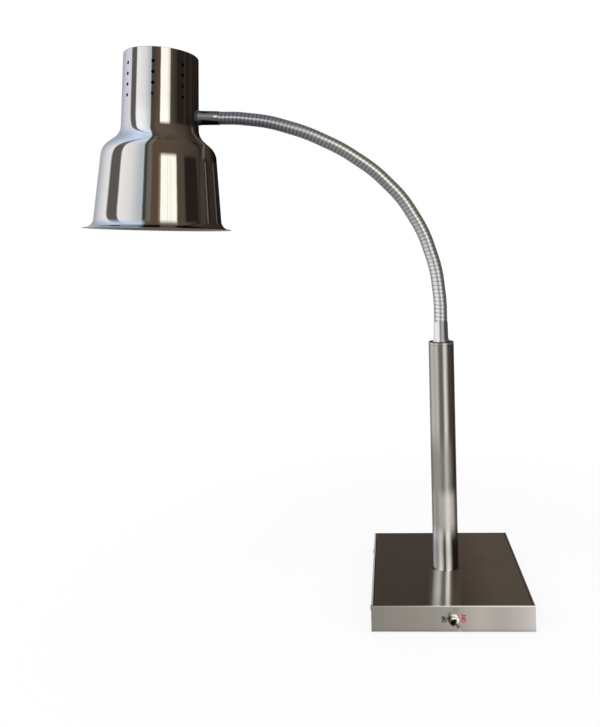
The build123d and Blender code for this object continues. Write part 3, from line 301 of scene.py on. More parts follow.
def spun_points(outline, count):
    """Points of an outline of (radius, height) turned about the Z axis."""
    turn = np.arange(count) * 2 * np.pi / count
    radius, height = np.asarray(outline, float).T
    x = radius[:, None] * np.cos(turn)
    y = radius[:, None] * np.sin(turn)
    return np.stack([x, y, np.broadcast_to(height[:, None], x.shape)], -1)


def moved(points, place):
    """Points under a placing matrix."""
    matrix = np.array(place)
    return points @ matrix[:3, :3].T + matrix[:3, 3]


def new_object(name, data):
    """Object of a mesh, a lamp or the like, in the scene."""
    made = bpy.data.objects.new(name, data)
    bpy.context.scene.collection.objects.link(made)
    return made


def clean(mesh, merge, thin=None):
    """Merges the points of a mesh within a distance, dissolves what is thinner than another, and
    turns the faces outwards."""
    edit = bmesh.new()
    edit.from_mesh(mesh)
    bmesh.ops.remove_doubles(edit, verts=edit.verts, dist=merge)
    if thin is not None:
        bmesh.ops.dissolve_degenerate(edit, edges=edit.edges, dist=thin)
    bmesh.ops.recalc_face_normals(edit, faces=edit.faces)
    edit.to_mesh(mesh)
    edit.free()


def vectors(items, name):
    """A vector property of all points or faces of a mesh."""
    values = np.zeros(len(items) * 3)
    items.foreach_get(name, values)
    return values.reshape(-1, 3)


def make_mesh(name, points, faces, uv=None, sharp=None):
    """Object of a mesh with its doubles merged, its poles closed and its faces turned outwards.
    uv gives two values for each point, and sharp the angle in degrees at which shading breaks."""
    mesh = bpy.data.meshes.new(name)
    mesh.from_pydata(points.reshape(-1, 3).tolist(), [], faces.tolist())
    if uv is not None:
        layer = mesh.uv_layers.new(name="Place")
        layer.uv.foreach_set("vector", uv.reshape(-1, 2)[faces.ravel()].astype(np.float32).ravel())
    clean(mesh, 1e-6, 1e-7)
    mesh.polygons.foreach_set("use_smooth", np.ones(len(mesh.polygons), bool))
    if sharp is not None:
        mesh.set_sharp_from_angle(angle=math.radians(sharp))
    return new_object(name, mesh)


def spun_piece(name, outline, place=Matrix.Identity(4), sharp=35):
    """Closed turned piece: an outline of (radius, height) spun about Z and then placed. An outline
    that doesn't start and end on the axis is joined from its end to its start."""
    outline = np.asarray(outline, float)
    count = sizes().ring_count
    points = moved(spun_points(outline, count), place)
    ring = outline[0, 0] > 1e-7 or outline[-1, 0] > 1e-7
    return make_mesh(name, points, grid_faces(len(outline), count, wrap_rows=ring), sharp=sharp)


def even(start, end, gap):
    """Even places after the start and up to the end, at most a gap apart."""
    count = max(1, int(math.ceil((end - start) / gap)))
    return list(np.linspace(start, end, count + 1)[1:])


def dense(outline, step):
    """The same outline with more points on its long runs, so that it has one at least every step."""
    outline = np.asarray(outline, float)
    parts = [outline[:1]]
    for start, end in zip(outline, outline[1:]):
        count = max(1, int(math.ceil(np.linalg.norm(end - start) / step)))
        share = np.arange(1, count + 1)[:, None] / count
        parts.append(start + share * (end - start))
    return np.concatenate(parts)


# Materials


class Wire:
    """One output socket of a node tree. Arithmetic on wires adds Math nodes."""

    def __init__(self, nodes, socket):
        self.nodes = nodes
        self.socket = socket

    def math(self, operation, *others):
        """Math node of this wire and others."""
        values = dict(enumerate((self,) + others))
        return self.nodes.node("ShaderNodeMath", {"operation": operation}, values)

    def __add__(self, other):
        return self.math("ADD", other)

    __radd__ = __add__

    def __mul__(self, other):
        return self.math("MULTIPLY", other)

    __rmul__ = __mul__

    def __sub__(self, other):
        return self.math("SUBTRACT", other)

    def __rsub__(self, other):
        return (self * -1) + other

    def __truediv__(self, other):
        return self.math("DIVIDE", other)

    def __abs__(self):
        return self.math("ABSOLUTE")

    def least(self, other):
        """The lesser of two values."""
        return self.math("MINIMUM", other)

    def most(self, other):
        """The greater of two values."""
        return self.math("MAXIMUM", other)

    def step(self, low, high):
        """0 below low, 1 above high and a smooth rise between; high may be the lower one."""
        values = {"Value": self, "From Min": low, "From Max": high}
        settings = {"interpolation_type": "SMOOTHSTEP", "clamp": True}
        return self.nodes.node("ShaderNodeMapRange", settings, values)

    def within(self, low, full, ebb, high):
        """0 outside low and high, 1 between full and ebb, and smooth between them."""
        return self.step(low, full) * self.step(high, ebb)

    def rise(self, fade):
        """0 at nothing and towards 1 beyond a fade: 1 less the exponential of minus their ratio."""
        return 1 - (self * (-1 / fade)).math("EXPONENT")


class Nodes:
    """A node tree. node() adds one node."""

    def __init__(self, tree):
        self.tree = tree

    def node(self, kind, settings=None, sockets=None, out=0):
        """Adds a node: its settings first, then the values or wires of its sockets."""
        made = self.tree.nodes.new(kind)
        for key, value in (settings or {}).items():
            if key == "stops":
                self.set_stops(made.color_ramp, value)
            else:
                setattr(made, key, value)
        for key, value in (sockets or {}).items():
            self.join(made.inputs[key], value)
        return Wire(self, made.outputs[out])

    def join(self, socket, value):
        """Links a wire to a socket, or sets the socket's own value. Text names a colour."""
        if isinstance(value, str):
            value = tint(value)
        if isinstance(value, Wire):
            self.tree.links.new(value.socket, socket)
        elif socket.type == "RGBA" and len(value) == 3:
            socket.default_value = (*value, 1.0)
        else:
            socket.default_value = value

    @staticmethod
    def set_stops(ramp, stops):
        """Stops of a colour ramp, as places and colours."""
        while len(ramp.elements) > 1:
            ramp.elements.remove(ramp.elements[-1])
        first, *others = stops
        ramp.elements[0].position = first[0]
        ramp.elements[0].color = (*tint(first[1]), 1.0)
        for place, colour in others:
            ramp.elements.new(place).color = (*tint(colour), 1.0)

    def seen_straight(self):
        """1 for the rays of the camera, of mirrors and of glass, and 0 for the rest."""
        rays = self.node("ShaderNodeLightPath").socket.node.outputs
        camera, mirror, glass = (
            Wire(self, rays[f"Is {kind} Ray"]) for kind in ("Camera", "Glossy", "Transmission"))
        return camera.most(mirror).most(glass)


class Finish(Nodes):
    """A material, and surface() sets its shader's sockets."""

    def __init__(self, name):
        self.material = bpy.data.materials.new(name)
        self.material.use_nodes = True
        super().__init__(self.material.node_tree)
        self.shader = next(n for n in self.tree.nodes if n.type == "BSDF_PRINCIPLED")
        self.output = next(n for n in self.tree.nodes if n.type == "OUTPUT_MATERIAL")

    def place(self, frame_matrix=None):
        """Object coordinates, in the frame given."""
        here = self.node("ShaderNodeTexCoord", out="Object")
        if frame_matrix is None:
            return here
        settings = {"vector_type": "TEXTURE"}
        values = {"Vector": here, "Location": tuple(frame_matrix.translation),
                  "Rotation": tuple(frame_matrix.to_euler())}
        return self.node("ShaderNodeMapping", settings, values)

    def parts(self, vector):
        """The three parts of a vector."""
        split = self.node("ShaderNodeSeparateXYZ", sockets={0: vector})
        return [Wire(self, socket) for socket in split.socket.node.outputs]

    def stretched(self, vector, scale):
        """A vector times a scale for each axis."""
        return self.node("ShaderNodeVectorMath", {"operation": "MULTIPLY"}, {0: vector, 1: scale})

    def noise(self, vector, scale, detail=3.0, rough=0.5):
        """Smooth noise between 0 and 1."""
        values = {"Vector": vector, "Scale": scale, "Detail": detail, "Roughness": rough}
        return self.node("ShaderNodeTexNoise", sockets=values)

    def mix(self, share, first, second, blend="MIX"):
        """Colours mixed by a share."""
        settings = {"data_type": "RGBA", "blend_type": blend, "clamp_factor": True}
        made = self.node("ShaderNodeMix", settings)
        node = made.socket.node
        for key, value in ((0, share), (6, first), (7, second)):
            self.join(node.inputs[key], value)
        return Wire(self, node.outputs[2])

    def ramp(self, place, stops):
        """Colour at a place between 0 and 1."""
        return self.node("ShaderNodeValToRGB", {"stops": stops}, {"Fac": place})

    def bump(self, height, distance, strength):
        """Normal of a height map; the distance is its full height."""
        values = {"Height": height, "Distance": distance, "Strength": strength}
        return self.node("ShaderNodeBump", sockets=values)

    def surface(self, **values):
        """Sets the shader's sockets; an underscore in a name stands for a space."""
        for key, value in values.items():
            self.join(self.shader.inputs[key.replace("_", " ")], value)
        return self.material


def bands(finish, across, runs):
    """Colour of painted reflection bands across a round metal, placed from -1 at its left edge to 1 at its
    right. Each is a colour and the places it runs between, and it changes softly into the next."""
    stops = [((place + 1) / 2, name) for name, *places in runs for place in places]
    return finish.ramp((across + 1) * 0.5, stops)


def changing_bands(finish, across, height, runs, changes):
    """Painted reflection bands that change along a piece: each change is two heights and the bands it leads
    to.
    """
    tone = bands(finish, across, runs)
    for low, high, others in changes:
        tone = finish.mix(height.step(low, high), tone, bands(finish, across, others))
    return tone


def across_round(x, y, facing):
    """Place across a round piece, from -1 to 1, as seen from a direction turned from -Y towards +X."""
    side = x * math.cos(facing) + y * math.sin(facing)
    return side / (x * x + y * y).math("SQRT").most(MM)


# Painted reflection bands round the shade's body and its neck: a colour and the places it runs between
BODY_BANDS = (
    ("sky", -1.0), ("cloud", -0.78), ("stripe", -0.755, -0.616), ("cloud", -0.594), ("white_steel", -0.43),
    ("haze", -0.29, -0.248), ("slate", -0.232, -0.195), ("olive", -0.178, -0.128), ("brown", -0.108, -0.02),
    ("rust", 0.0, 0.014), ("cream", 0.026, 0.252), ("moss", 0.274, 0.372), ("pitch", 0.405, 0.582),
    ("bark", 0.606, 0.701), ("black", 0.752), ("umber", 0.789, 0.871), ("pitch", 0.912, 0.965),
    ("black", 1.0))
NECK_BANDS = (
    ("sky", -1.0, -0.748), ("stripe", -0.722, -0.617), ("cloud", -0.592, -0.54), ("white_steel", -0.39),
    ("haze", -0.27, -0.248), ("slate", -0.23), ("bark", -0.19), ("brown", -0.075, -0.03), ("rust", -0.015),
    ("cream", 0.001, 0.15), ("ivory", 0.221), ("moss", 0.243), ("umber", 0.388), ("pitch", 0.427, 0.563),
    ("umber", 0.593), ("pitch", 0.622, 0.722), ("umber", 0.753), ("pitch", 0.794, 0.934), ("black", 1.0))
PINCH_HEIGHT = 131.5 * MM
NECK_CHANGE = ((PINCH_HEIGHT - 2 * MM, PINCH_HEIGHT + 2 * MM, NECK_BANDS),)
# Thin painted reflection lines on the body: place, half width, colour and strength
REFLECTED_LINES = ((0.125, 0.010, "ivory", 0.6), (0.170, 0.010, "ivory", 0.6), (0.742, 0.018, "glint", 0.8),
             (0.892, 0.014, "glint", 0.7))
REFLECTED_LINES_TOP = (104 * MM, 96 * MM)
# Direction from the shade towards the camera, turned from -Y towards +X, for which its reflections are
# painted
SHADE_FACING = math.radians(19.75)

# Where the painted reflection bands left of an edge draw together, about the pinch height and at the lip
PINCH_HALF = 4 * MM
PINCH_FADE = 6 * MM
PINCH_EDGE = -0.262
LIP_HEIGHT = 1.5 * MM
LIP_FADE = 3.5 * MM
# Where they lean to the left on the way, and how far
LEAN_HEIGHTS = (116 * MM, PINCH_HEIGHT, PINCH_HEIGHT, 148 * MM)
LEAN_REACH = 0.085
# Heights and places of the zones where the painted reflections of the shoulder and the rim take over, of
# the plain crown, and of the hollow where less metal lets the painted colour show
SKY_END = (-0.25, -0.17)
DARK_STRIPE = (-0.785, -0.75, -0.62, -0.585)
ABOVE_SHOULDER = (130 * MM, 134 * MM, 151 * MM, 158 * MM)
BELOW_SHOULDER = (100 * MM, 108 * MM, 136 * MM, 140 * MM)
RIM_ZONE = (12 * MM, 4 * MM)
CROWN_ZONE = (SHADE_HEIGHT - 1.6 * MM, SHADE_HEIGHT - 0.5 * MM)
HOLLOW_ZONE = (118 * MM, 134 * MM, 160 * MM, 190 * MM)
# Painted light arc, a reflection on the dark side of the shoulder: place, how it leans with height, and half
# width
ARC_PLACE = 0.76
ARC_LEAN = 1.6
ARC_HALF = 0.035


def shade_outside():
    """Polished outside of the shade: painted reflection bands round it, drawn together at the shoulder and
    the rim.
    """
    finish = Finish("polished_shade")
    here = finish.place(HEAD)
    x, y, z = finish.parts(here)
    wave = finish.noise(finish.stretched(here, (3.0, 3.0, 9.0)), 6.0, 2.0)
    across = across_round(x, y, SHADE_FACING) + (wave - 0.5) * 0.010
    # The painted reflection stripes left of the dark line close up where the wall turns to the sky
    across = across - z.within(*LEAN_HEIGHTS) * LEAN_REACH
    apart = (abs(z - PINCH_HEIGHT) - PINCH_HALF).most(0.0)
    lip = (z - LIP_HEIGHT).most(0.0)
    spread = (apart.rise(PINCH_FADE) * lip.rise(LIP_FADE)).most(0.01)
    left = (PINCH_EDGE - across).most(0.0)
    warped = across + left - (left / spread).least(0.99 + PINCH_EDGE)
    reflected_bands = changing_bands(finish, warped, z, BODY_BANDS, NECK_CHANGE)
    # Thin painted reflection lines, low on the body
    lines = z.step(*REFLECTED_LINES_TOP)
    for place, half, name, share in REFLECTED_LINES:
        drawn = abs(across - place).step(half, 0.0) * lines * share
        reflected_bands = finish.mix(drawn, reflected_bands, name)
    # Painted reflection of the shoulder: pale blue sky on the left, brown, then nearly black on the right
    # with a light arc
    turned = finish.mix(across.step(*SKY_END), "shoulder_sky", "brown")
    shoulder = finish.mix(across.step(0.10, 0.75) * 0.6, turned, "pitch")
    shoulder = finish.mix(across.step(0.80, 0.95), shoulder, "black")
    arc = abs(across - ARC_PLACE - (z - PINCH_HEIGHT) * ARC_LEAN).step(ARC_HALF, 0.0)
    shoulder = finish.mix(arc * 0.7, shoulder, "glint")
    # Near the pinch the shoulder's painted reflection also covers the bands left of the dark line, except the
    # dark stripe
    pale = apart.step(15 * MM, 1 * MM) * across.step(-0.24, -0.27)
    pale = pale * (1 - warped.within(*DARK_STRIPE) * 0.85)
    result = finish.mix(pale, reflected_bands, shoulder)
    # Above and below the shoulder its painted reflection covers the part right of the middle
    shoulder_reflection_share = z.within(*ABOVE_SHOULDER).most(z.within(*BELOW_SHOULDER)) * across.step(-0.16, -0.06)
    result = finish.mix(shoulder_reflection_share, result, shoulder)
    # Painted reflection along the rim: sky on the left, brown, umber on the right
    edge = finish.mix(across.step(0.35, 0.75), turned, "umber")
    result = finish.mix(z.step(*RIM_ZONE) * 0.92, result, edge)
    crown = z.step(*CROWN_ZONE)
    result = finish.mix(crown * 0.8, result, "light_steel")
    spin = finish.noise(finish.stretched(here, (0.2, 0.2, 60.0)), 12.0, 3.0)
    # Where the metal faces itself or turns away on the dark side, less metal lets its painted colour show as
    # it is
    hollow = z.within(*HOLLOW_ZONE) * 0.75
    metal = 1 - (hollow * across.step(-0.75, -0.45)).most(across.step(0.42, 0.86))
    return finish.surface(
        Base_Color=result, Metallic=metal, Roughness=spin * 0.05 + crown * 0.15 + 0.10,
        Normal=finish.bump(spin, 0.00002, 0.3), Specular_Tint=(0.5, 0.5, 0.5), Specular_IOR_Level=0.0)


def shade_inside():
    """Satin inside of the shade, with faint rings from its spinning, darker at its lip, and painted shade up
    in its neck.
    """
    finish = Finish("satin_shade")
    here = finish.place(HEAD)
    _, _, z = finish.parts(here)
    rings = finish.noise(finish.stretched(here, (0.3, 0.3, 40.0)), 14.0, 4.0)
    tone = finish.mix(rings, "b9b8b6", "d2d1cf")
    tone = finish.mix(z.step(9 * MM, 3 * MM) * 0.9, tone, "bark")
    # Painted shade up inside the neck, which is also what shows through the vents
    tone = finish.mix(z.step(150 * MM, 180 * MM) * 0.97, tone, "black")
    return finish.surface(Base_Color=tone, Metallic=1.0, Roughness=rings * 0.12 + 0.32)


def brushed(name, colour, grain=(1.0, 60.0, 60.0), rough=0.32, centre=None):
    """Brushed metal: fine lines along one axis, lighter and darker, with broad soft clouds."""
    finish = Finish(name)
    here = finish.place(centre)
    lines = finish.noise(finish.stretched(here, grain), 40.0, 4.0, 0.65)
    clouds = finish.noise(here, 14.0, 2.0)
    share = (lines - 0.5) * 0.2 + (clouds - 0.5) * 0.1 + 0.5
    tone = finish.mix(share, scaled(tint(colour), 0.72), scaled(tint(colour), 1.28))
    return finish.surface(
        Base_Color=tone, Metallic=1.0, Roughness=(lines - 0.5) * 0.16 + rough,
        Normal=finish.bump(lines, 0.00003, 0.35))


def moulded(name, colour, rough=0.45, coat=0.0):
    """Moulded plastic, rubber or glaze: one colour with faint clouds and a fine skin."""
    finish = Finish(name)
    here = finish.place()
    clouds = finish.noise(here, 30.0, 3.0)
    skin = finish.noise(here, 900.0, 2.0)
    tone = finish.mix(clouds, scaled(tint(colour), 0.86), scaled(tint(colour), 1.14))
    return finish.surface(
        Base_Color=tone, Roughness=(skin - 0.5) * 0.12 + rough, Normal=finish.bump(skin, 0.00004, 0.4),
        Coat_Weight=coat)


# Painted reflection bands across the gooseneck at its foot, its middle and its upper end
HOSE_FOOT = (
    ("steel", -1.0), ("chrome", -0.85), ("cloud", -0.6, -0.4), ("chrome", -0.15), ("steel", -0.05),
    ("chrome", 0.04), ("white_steel", 0.15, 0.27), ("pale_steel", 0.36), ("dull_steel", 0.47),
    ("stripe", 0.6), ("slate", 0.88), ("stripe", 1.0))
HOSE_MIDDLE = (
    ("dull_chrome", -1.0, -0.17), ("steel", -0.04), ("ivory", 0.06), ("cream", 0.13, 0.21), ("ivory", 0.28),
    ("light_steel", 0.38), ("dark_steel", 0.5), ("stripe", 1.0))
HOSE_HIGH = (
    ("stripe", -1.0), ("gun_blue", -0.35), ("dull_chrome", -0.2), ("haze", -0.11), ("sky", -0.04),
    ("haze", 0.03), ("dull_chrome", 0.12), ("gun_blue", 0.3, 0.85), ("slate", 1.0))
# Along the hose, from 0 at its foot to 1 at the shade
HOSE_CHANGES = ((0.05, 0.48, HOSE_MIDDLE), (0.55, 0.90, HOSE_HIGH))
NECK_BAND_COUNT = int(NECK_RIBS * RIB_PITCH / BAND_PITCH)
# Share of painted shade in the gooseneck's grooves
GROOVE_SHADE = 0.36


def ribbed_chrome():
    """Ribbed hose: painted reflection bands round it on its own map, with painted shade in its wound
    grooves and a faint painted highlight between them, paler at its foot.
    """
    finish = Finish("ribbed_chrome")
    where = finish.node("ShaderNodeUVMap", {"uv_map": "Place"})
    u, v, _ = finish.parts(where)
    across = (u * (2 * math.pi)).math("COSINE")
    result = changing_bands(finish, across, v, HOSE_FOOT, HOSE_CHANGES)
    wound = ((v * NECK_BAND_COUNT - u) * (2 * math.pi)).math("COSINE")
    # Faint painted highlight between the grooves, then painted shade in them, less on the bright side
    result = finish.mix(wound.step(-0.2, -1.0) * 0.05, result, "cream")
    grooves = wound.step(0.2, 0.9) * GROOVE_SHADE * (1 - across.step(0.30, 0.45) * 0.5)
    result = finish.mix(grooves, result, "pitch")
    flecks = finish.noise(finish.stretched(where, (3.0, 120.0, 1.0)), 6.0, 2.0)
    return finish.surface(
        Base_Color=result, Metallic=0.6, Roughness=flecks * 0.1 + 0.26, Specular_Tint=(0.6, 0.6, 0.6),
        Specular_IOR_Level=0.1)


# Painted reflection bands round the upright, from its top down to its foot
POST_HIGH = (
    ("dark_steel", -1.0), ("steel", -0.9), ("pale_steel", -0.78), ("light_steel", -0.57),
    ("pale_steel", -0.4), ("light_steel", -0.3), ("dull_steel", -0.21), ("dark_steel", -0.12, 0.0),
    ("dull_steel", 0.08), ("light_steel", 0.14), ("ivory", 0.21, 0.28), ("pale_steel", 0.36),
    ("dull_steel", 0.45), ("bark", 0.55, 0.68), ("umber", 0.8), ("pitch", 0.92), ("black", 1.0))
POST_MIDDLE = (
    ("dark_steel", -1.0), ("dull_steel", -0.9), ("steel", -0.72, -0.29), ("dull_steel", -0.15, -0.03),
    ("steel", 0.06), ("light_steel", 0.14), ("pale_steel", 0.22), ("light_steel", 0.31), ("steel", 0.4),
    ("dull_steel", 0.5), ("dark_steel", 0.6), ("bark", 0.74), ("pitch", 0.84, 1.0))
POST_LOW = (
    ("steel", -1.0), ("dull_steel", -0.88), ("light_steel", -0.79), ("steel", -0.7, -0.53),
    ("light_steel", -0.36, -0.1), ("pale_steel", 0.07), ("ivory", 0.16, 0.35), ("pale_steel", 0.5),
    ("light_steel", 0.66), ("dull_steel", 0.76), ("stripe", 0.85), ("pitch", 0.93), ("black", 1.0))
POST_FOOT = (
    ("dull_steel", -1.0), ("pale_steel", -0.93), ("cloud", -0.86), ("haze", -0.72, -0.57),
    ("cream", -0.42, -0.33), ("white_steel", -0.24), ("steel", -0.16), ("dark_steel", -0.08, 0.01),
    ("white_steel", 0.09), ("cream", 0.18, 0.34), ("pale_steel", 0.43), ("dark_steel", 0.52),
    ("pitch", 0.6, 0.8), ("black", 1.0))
POST_FACING = math.radians(-4.5)
POST_CHANGES = (
    (78 * MM, 108 * MM, POST_LOW), (142 * MM, 163 * MM, POST_MIDDLE), (198 * MM, 255 * MM, POST_HIGH))
POST_METAL_HEIGHT = 150 * MM


def satin_post():
    """Upright: painted reflection bands on satin steel that slowly change from its foot to its top."""
    finish = Finish("satin_post")
    here = finish.place()
    x, y, z = finish.parts(here)
    across = (x * math.cos(POST_FACING) + y * math.sin(POST_FACING)) / POST_RADIUS
    wave = finish.noise(finish.stretched(here, (1.0, 1.0, 3.0)), 5.0, 2.0)
    across = across + (wave - 0.5) * 0.06
    tone = changing_bands(finish, across, z, POST_FOOT, POST_CHANGES)
    # A thin painted highlight just below the top edge, and the cap's top painted black as a dark reflection
    tone = finish.mix(z.step(POST_TOP - 5 * MM, POST_TOP - 1.5 * MM) * 0.08, tone, "cloud")
    lid = z.step(POST_TOP - 0.35 * MM, POST_TOP - 0.1 * MM)
    tone = finish.mix(lid, tone, "black")
    grain = finish.noise(finish.stretched(here, (60.0, 60.0, 1.5)), 30.0, 4.0, 0.6)
    tone = finish.mix((grain - 0.5) * 0.35 + 0.15, tone, "d9d6cf", "SOFT_LIGHT")
    # Less metal towards the foot lets the painted reflection show as it is; the painted black top is not
    # metal
    return finish.surface(
        Base_Color=tone, Metallic=z.step(0, POST_METAL_HEIGHT) * (1 - lid),
        Roughness=grain * 0.12 + lid * 0.5 + 0.2, Normal=finish.bump(grain, 0.00002, 0.3),
        Specular_Tint=(0.6, 0.6, 0.6), Specular_IOR_Level=0.2)


# Painted reflection tones of the base, from its left side to its right
FRONT_TONES = (
    (0.0, "878480"), (0.12, "8e8a82"), (0.40, "98948c"), (0.55, "a7a19b"), (0.66, "b6b0aa"), (0.80, "afa9a3"),
    (0.92, "bcb7b3"), (1.0, "cdc8c5"))
TOP_TONES = (
    (0.0, "413931"), (0.08, "3e352d"), (0.50, "3f362e"), (0.66, "483e35"), (0.80, "50463c"), (1.0, "4f463c"))
# The upright's painted reflection in the top: how it leans, its half width, where it begins, and its bands
IMAGE_LEAN = 0.098
IMAGE_HALF = 1.4 * POST_RADIUS
IMAGE_START = (8 * MM, 17 * MM)
IMAGE_BANDS = (
    ("bark", -1.0, -0.83), ("moss", -0.7), ("steel", -0.58), ("light_steel", -0.48), ("haze", -0.38),
    ("light_steel", -0.27), ("dull_steel", -0.19), ("olive", -0.12, -0.03), ("light_steel", 0.035),
    ("ivory", 0.1, 0.18), ("light_steel", 0.24), ("olive", 0.3), ("brown", 0.38), ("bark", 0.46, 1.0))


def box_steel():
    """Brushed cover of the base: painted reflections, dark on the top with the upright's image and paler on
    the front and back, with painted shade low on the front and a painted highlight along the top bend.
    """
    finish = Finish("brushed_cover")
    here = finish.place()
    x, y, z = finish.parts(here)
    lines = finish.noise(finish.stretched(here, (1.2, 70.0, 70.0)), 30.0, 4.0, 0.65)
    clouds = finish.noise(finish.stretched(here, (1.0, 2.2, 1.0)), 9.0, 2.0)
    share = (x + BASE_HALF) / (2 * BASE_HALF)
    # Painted shade along the foot of the front, over the painted reflection tones
    front = finish.mix(z.step(8 * MM, 2 * MM) * 0.35, finish.ramp(share, FRONT_TONES), "6f6b66")
    side = x - y * IMAGE_LEAN
    image = bands(finish, side / IMAGE_HALF, IMAGE_BANDS)
    near = (y * -1).step(*IMAGE_START)
    shown = abs(side).step(25 * MM, 18 * MM) * near * (y.step(-BASE_HALF * 1.3, -60 * MM) * 0.35 + 0.65)
    top = finish.mix(shown, finish.ramp(share, TOP_TONES), image)
    on_top = z.step(BASE_TOP - 1.6 * MM, BASE_TOP - 0.35 * MM)
    tone = finish.mix(on_top, front, top)
    bend = z.within(BASE_TOP - 2.2 * MM, BASE_TOP - 1.2 * MM, BASE_TOP - 0.6 * MM, BASE_TOP - 0.15 * MM)
    # Painted highlight along the top bend, stronger towards the right
    tone = finish.mix(bend * (x.step(-BASE_HALF, BASE_HALF) * 0.75 + 0.15), tone, "f2eee8")
    streaks = (lines - 0.5) * 0.55 + (clouds - 0.5) * 0.30 + 0.5
    tone = finish.mix(streaks * 0.5, tone, finish.mix(streaks, "1c1814", "fff9ee"), "SOFT_LIGHT")
    # Little metal under the upright's painted reflection, so that it shows as painted
    return finish.surface(
        Base_Color=tone, Metallic=1 - abs(side).step(26 * MM, 17 * MM) * near * on_top * 0.9,
        Roughness=(lines - 0.5) * 0.2 + 0.34, Normal=finish.bump(lines, 0.00003, 0.4),
        Specular_Tint=(0.6, 0.6, 0.6), Specular_IOR_Level=0.05)


def tray_steel():
    """Brushed tray of the base: pale sides whose upper edge is dark on the right."""
    finish = Finish("brushed_tray")
    here = finish.place()
    x, _, z = finish.parts(here)
    lines = finish.noise(finish.stretched(here, (60.0, 1.0, 60.0)), 40.0, 4.0, 0.65)
    tone = finish.mix(lines, "steel", "pale_steel")
    edge = z.step(BASE_TOP - 2.5 * MM, BASE_TOP - 1.5 * MM) * x.step(0.0, 50 * MM)
    tone = finish.mix(edge, tone, "bark")
    return finish.surface(
        Base_Color=tone, Metallic=1 - edge, Roughness=(lines - 0.5) * 0.16 + 0.34,
        Normal=finish.bump(lines, 0.00003, 0.35), Specular_IOR_Level=0.05)


def bulb_skin():
    """Reflector bulb: silvered back and sides, and a frosted face below its widest ring."""
    finish = Finish("silvered_bulb")
    here = finish.place(HEAD)
    _, _, z = finish.parts(here)
    frost = finish.noise(here, 500.0, 2.0)
    silver = z.step(30 * MM, 37 * MM)
    tone = finish.mix(silver, finish.mix(frost, "e9e4da", "f6f2ea"), "c9c9cb")
    return finish.surface(
        Base_Color=tone, Metallic=silver, Roughness=frost * 0.08 + 0.18,
        Normal=finish.bump(frost, 0.00003, 0.3))


# Pieces


def finish_nodes(material, *nodes):
    """Gives CAD nodes a material."""
    for name in nodes:
        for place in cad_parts[name].material_slots:
            place.material = material


def dress(piece, material, body):
    """Gives a new piece its material and its body."""
    piece.data.materials.append(material)
    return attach(piece, body)


def vent_lines(centres, cell, reach, low, high, gap):
    """Grid lines between two ends, with a line every cell up to the reach round each centre and
    wider, even gaps elsewhere. Also gives the index of each centre."""
    lines, marks = [low], []
    for centre in centres:
        start = centre - reach * cell
        lines += even(lines[-1], start, gap)
        marks.append(len(lines) - 1 + reach)
        lines += list(start + cell * np.arange(1, 2 * reach + 1))
    return np.array(lines + even(lines[-1], high, gap)), marks


def ring_steps(size):
    """Offsets, in cells, of the square ring of points at a distance from its centre, in order."""
    side = np.arange(-size, size)
    edge = np.full(2 * size, size)
    steps = [np.stack([side, -edge], 1), np.stack([edge, side], 1),
             np.stack([-side, edge], 1), np.stack([-edge, -side], 1)]
    return np.concatenate(steps)


def rounding(down, over, hole, reach):
    """Where a point of a square patch goes: rings near the centre become circles, with the ring
    at the hole on its circle, and the outermost ring stays square. A point's angle on its circle
    is its place along the side of its square, from corner to corner."""
    ring = np.maximum(np.abs(down), np.abs(over))
    flat = np.abs(over) >= np.abs(down)
    safe = np.maximum(ring, 1e-9)
    slope = np.where(flat, down / safe, over / safe) * np.pi / 4
    main = ring * np.cos(slope)
    cross = ring * np.sin(slope)
    round_over = np.where(flat, np.sign(over) * main, cross)
    round_down = np.where(flat, cross, np.sign(down) * main)
    share = np.clip((ring - hole) / (reach - hole), 0, 1)
    inside = ring <= reach
    new_over = np.where(inside, round_over * (1 - share) + over * share, over)
    new_down = np.where(inside, round_down * (1 - share) + down * share, down)
    return new_down, new_over


HOLE_RING = 3
PATCH_RING = 6
BODY_STEP = 9 * MM
NECK_STEP = 3 * MM
TURN_STEP = 2.6
NECK_LOW = 160 * MM
NECK_HIGH = SHADE_HEIGHT - 6 * MM
VENT_ZONE = (NECK_FOOT[1] + 20 * MM, SHADE_HEIGHT - 8 * MM)


def vent_grid(outline, run):
    """Grid of the shade's wall: for each point its length along the outline and its turn round the
    axis in degrees. Round each vent the even grid is drawn into circles. Also gives the faces that
    the vents cut away, and the ring of points round each of them."""
    cell = VENT_RADIUS / HOLE_RING
    low, high, *vent_runs = np.interp((NECK_LOW, NECK_HIGH) + VENT_HEIGHTS, outline[:, 1], run)
    middle, _ = vent_lines(vent_runs, cell, PATCH_RING, low, high, NECK_STEP)
    below = along(dense(outline[run < low], BODY_STEP))
    rows = np.unique(np.round(np.concatenate([below, middle, run[run > high]]), 7))
    row_marks = [int(np.argmin(np.abs(rows - place))) for place in vent_runs]
    step = 360 / VENT_COLUMNS
    degrees = math.degrees(cell / NECK_TOP[0])
    first = VENT_TURN - step / 2
    centres = first + step * (np.arange(VENT_COLUMNS) + 0.5)
    columns, column_marks = vent_lines(centres, degrees, PATCH_RING, first, first + 360, TURN_STEP)
    columns = columns[:-1]
    s, a = np.meshgrid(rows, columns, indexing="ij")
    cut = np.zeros(s.shape, bool)
    rings = []
    for row in row_marks:
        for column in column_marks:
            i = np.arange(row - PATCH_RING, row + PATCH_RING + 1)
            j = np.arange(column - PATCH_RING, column + PATCH_RING + 1)
            down, over = np.meshgrid(i - row, j - column, indexing="ij")
            new_down, new_over = rounding(down.astype(float), over.astype(float), HOLE_RING, PATCH_RING)
            s[np.ix_(i, j)] = rows[row] + new_down * cell
            a[np.ix_(i, j)] = columns[column] + new_over * degrees
            top, left = row - HOLE_RING, column - HOLE_RING
            cut[top:top + 2 * HOLE_RING, left:left + 2 * HOLE_RING] = True
            ring = ring_steps(HOLE_RING) + (row, column)
            rings.append(ring[:, 0] * len(columns) + ring[:, 1])
    return s, np.radians(a), cut, rings


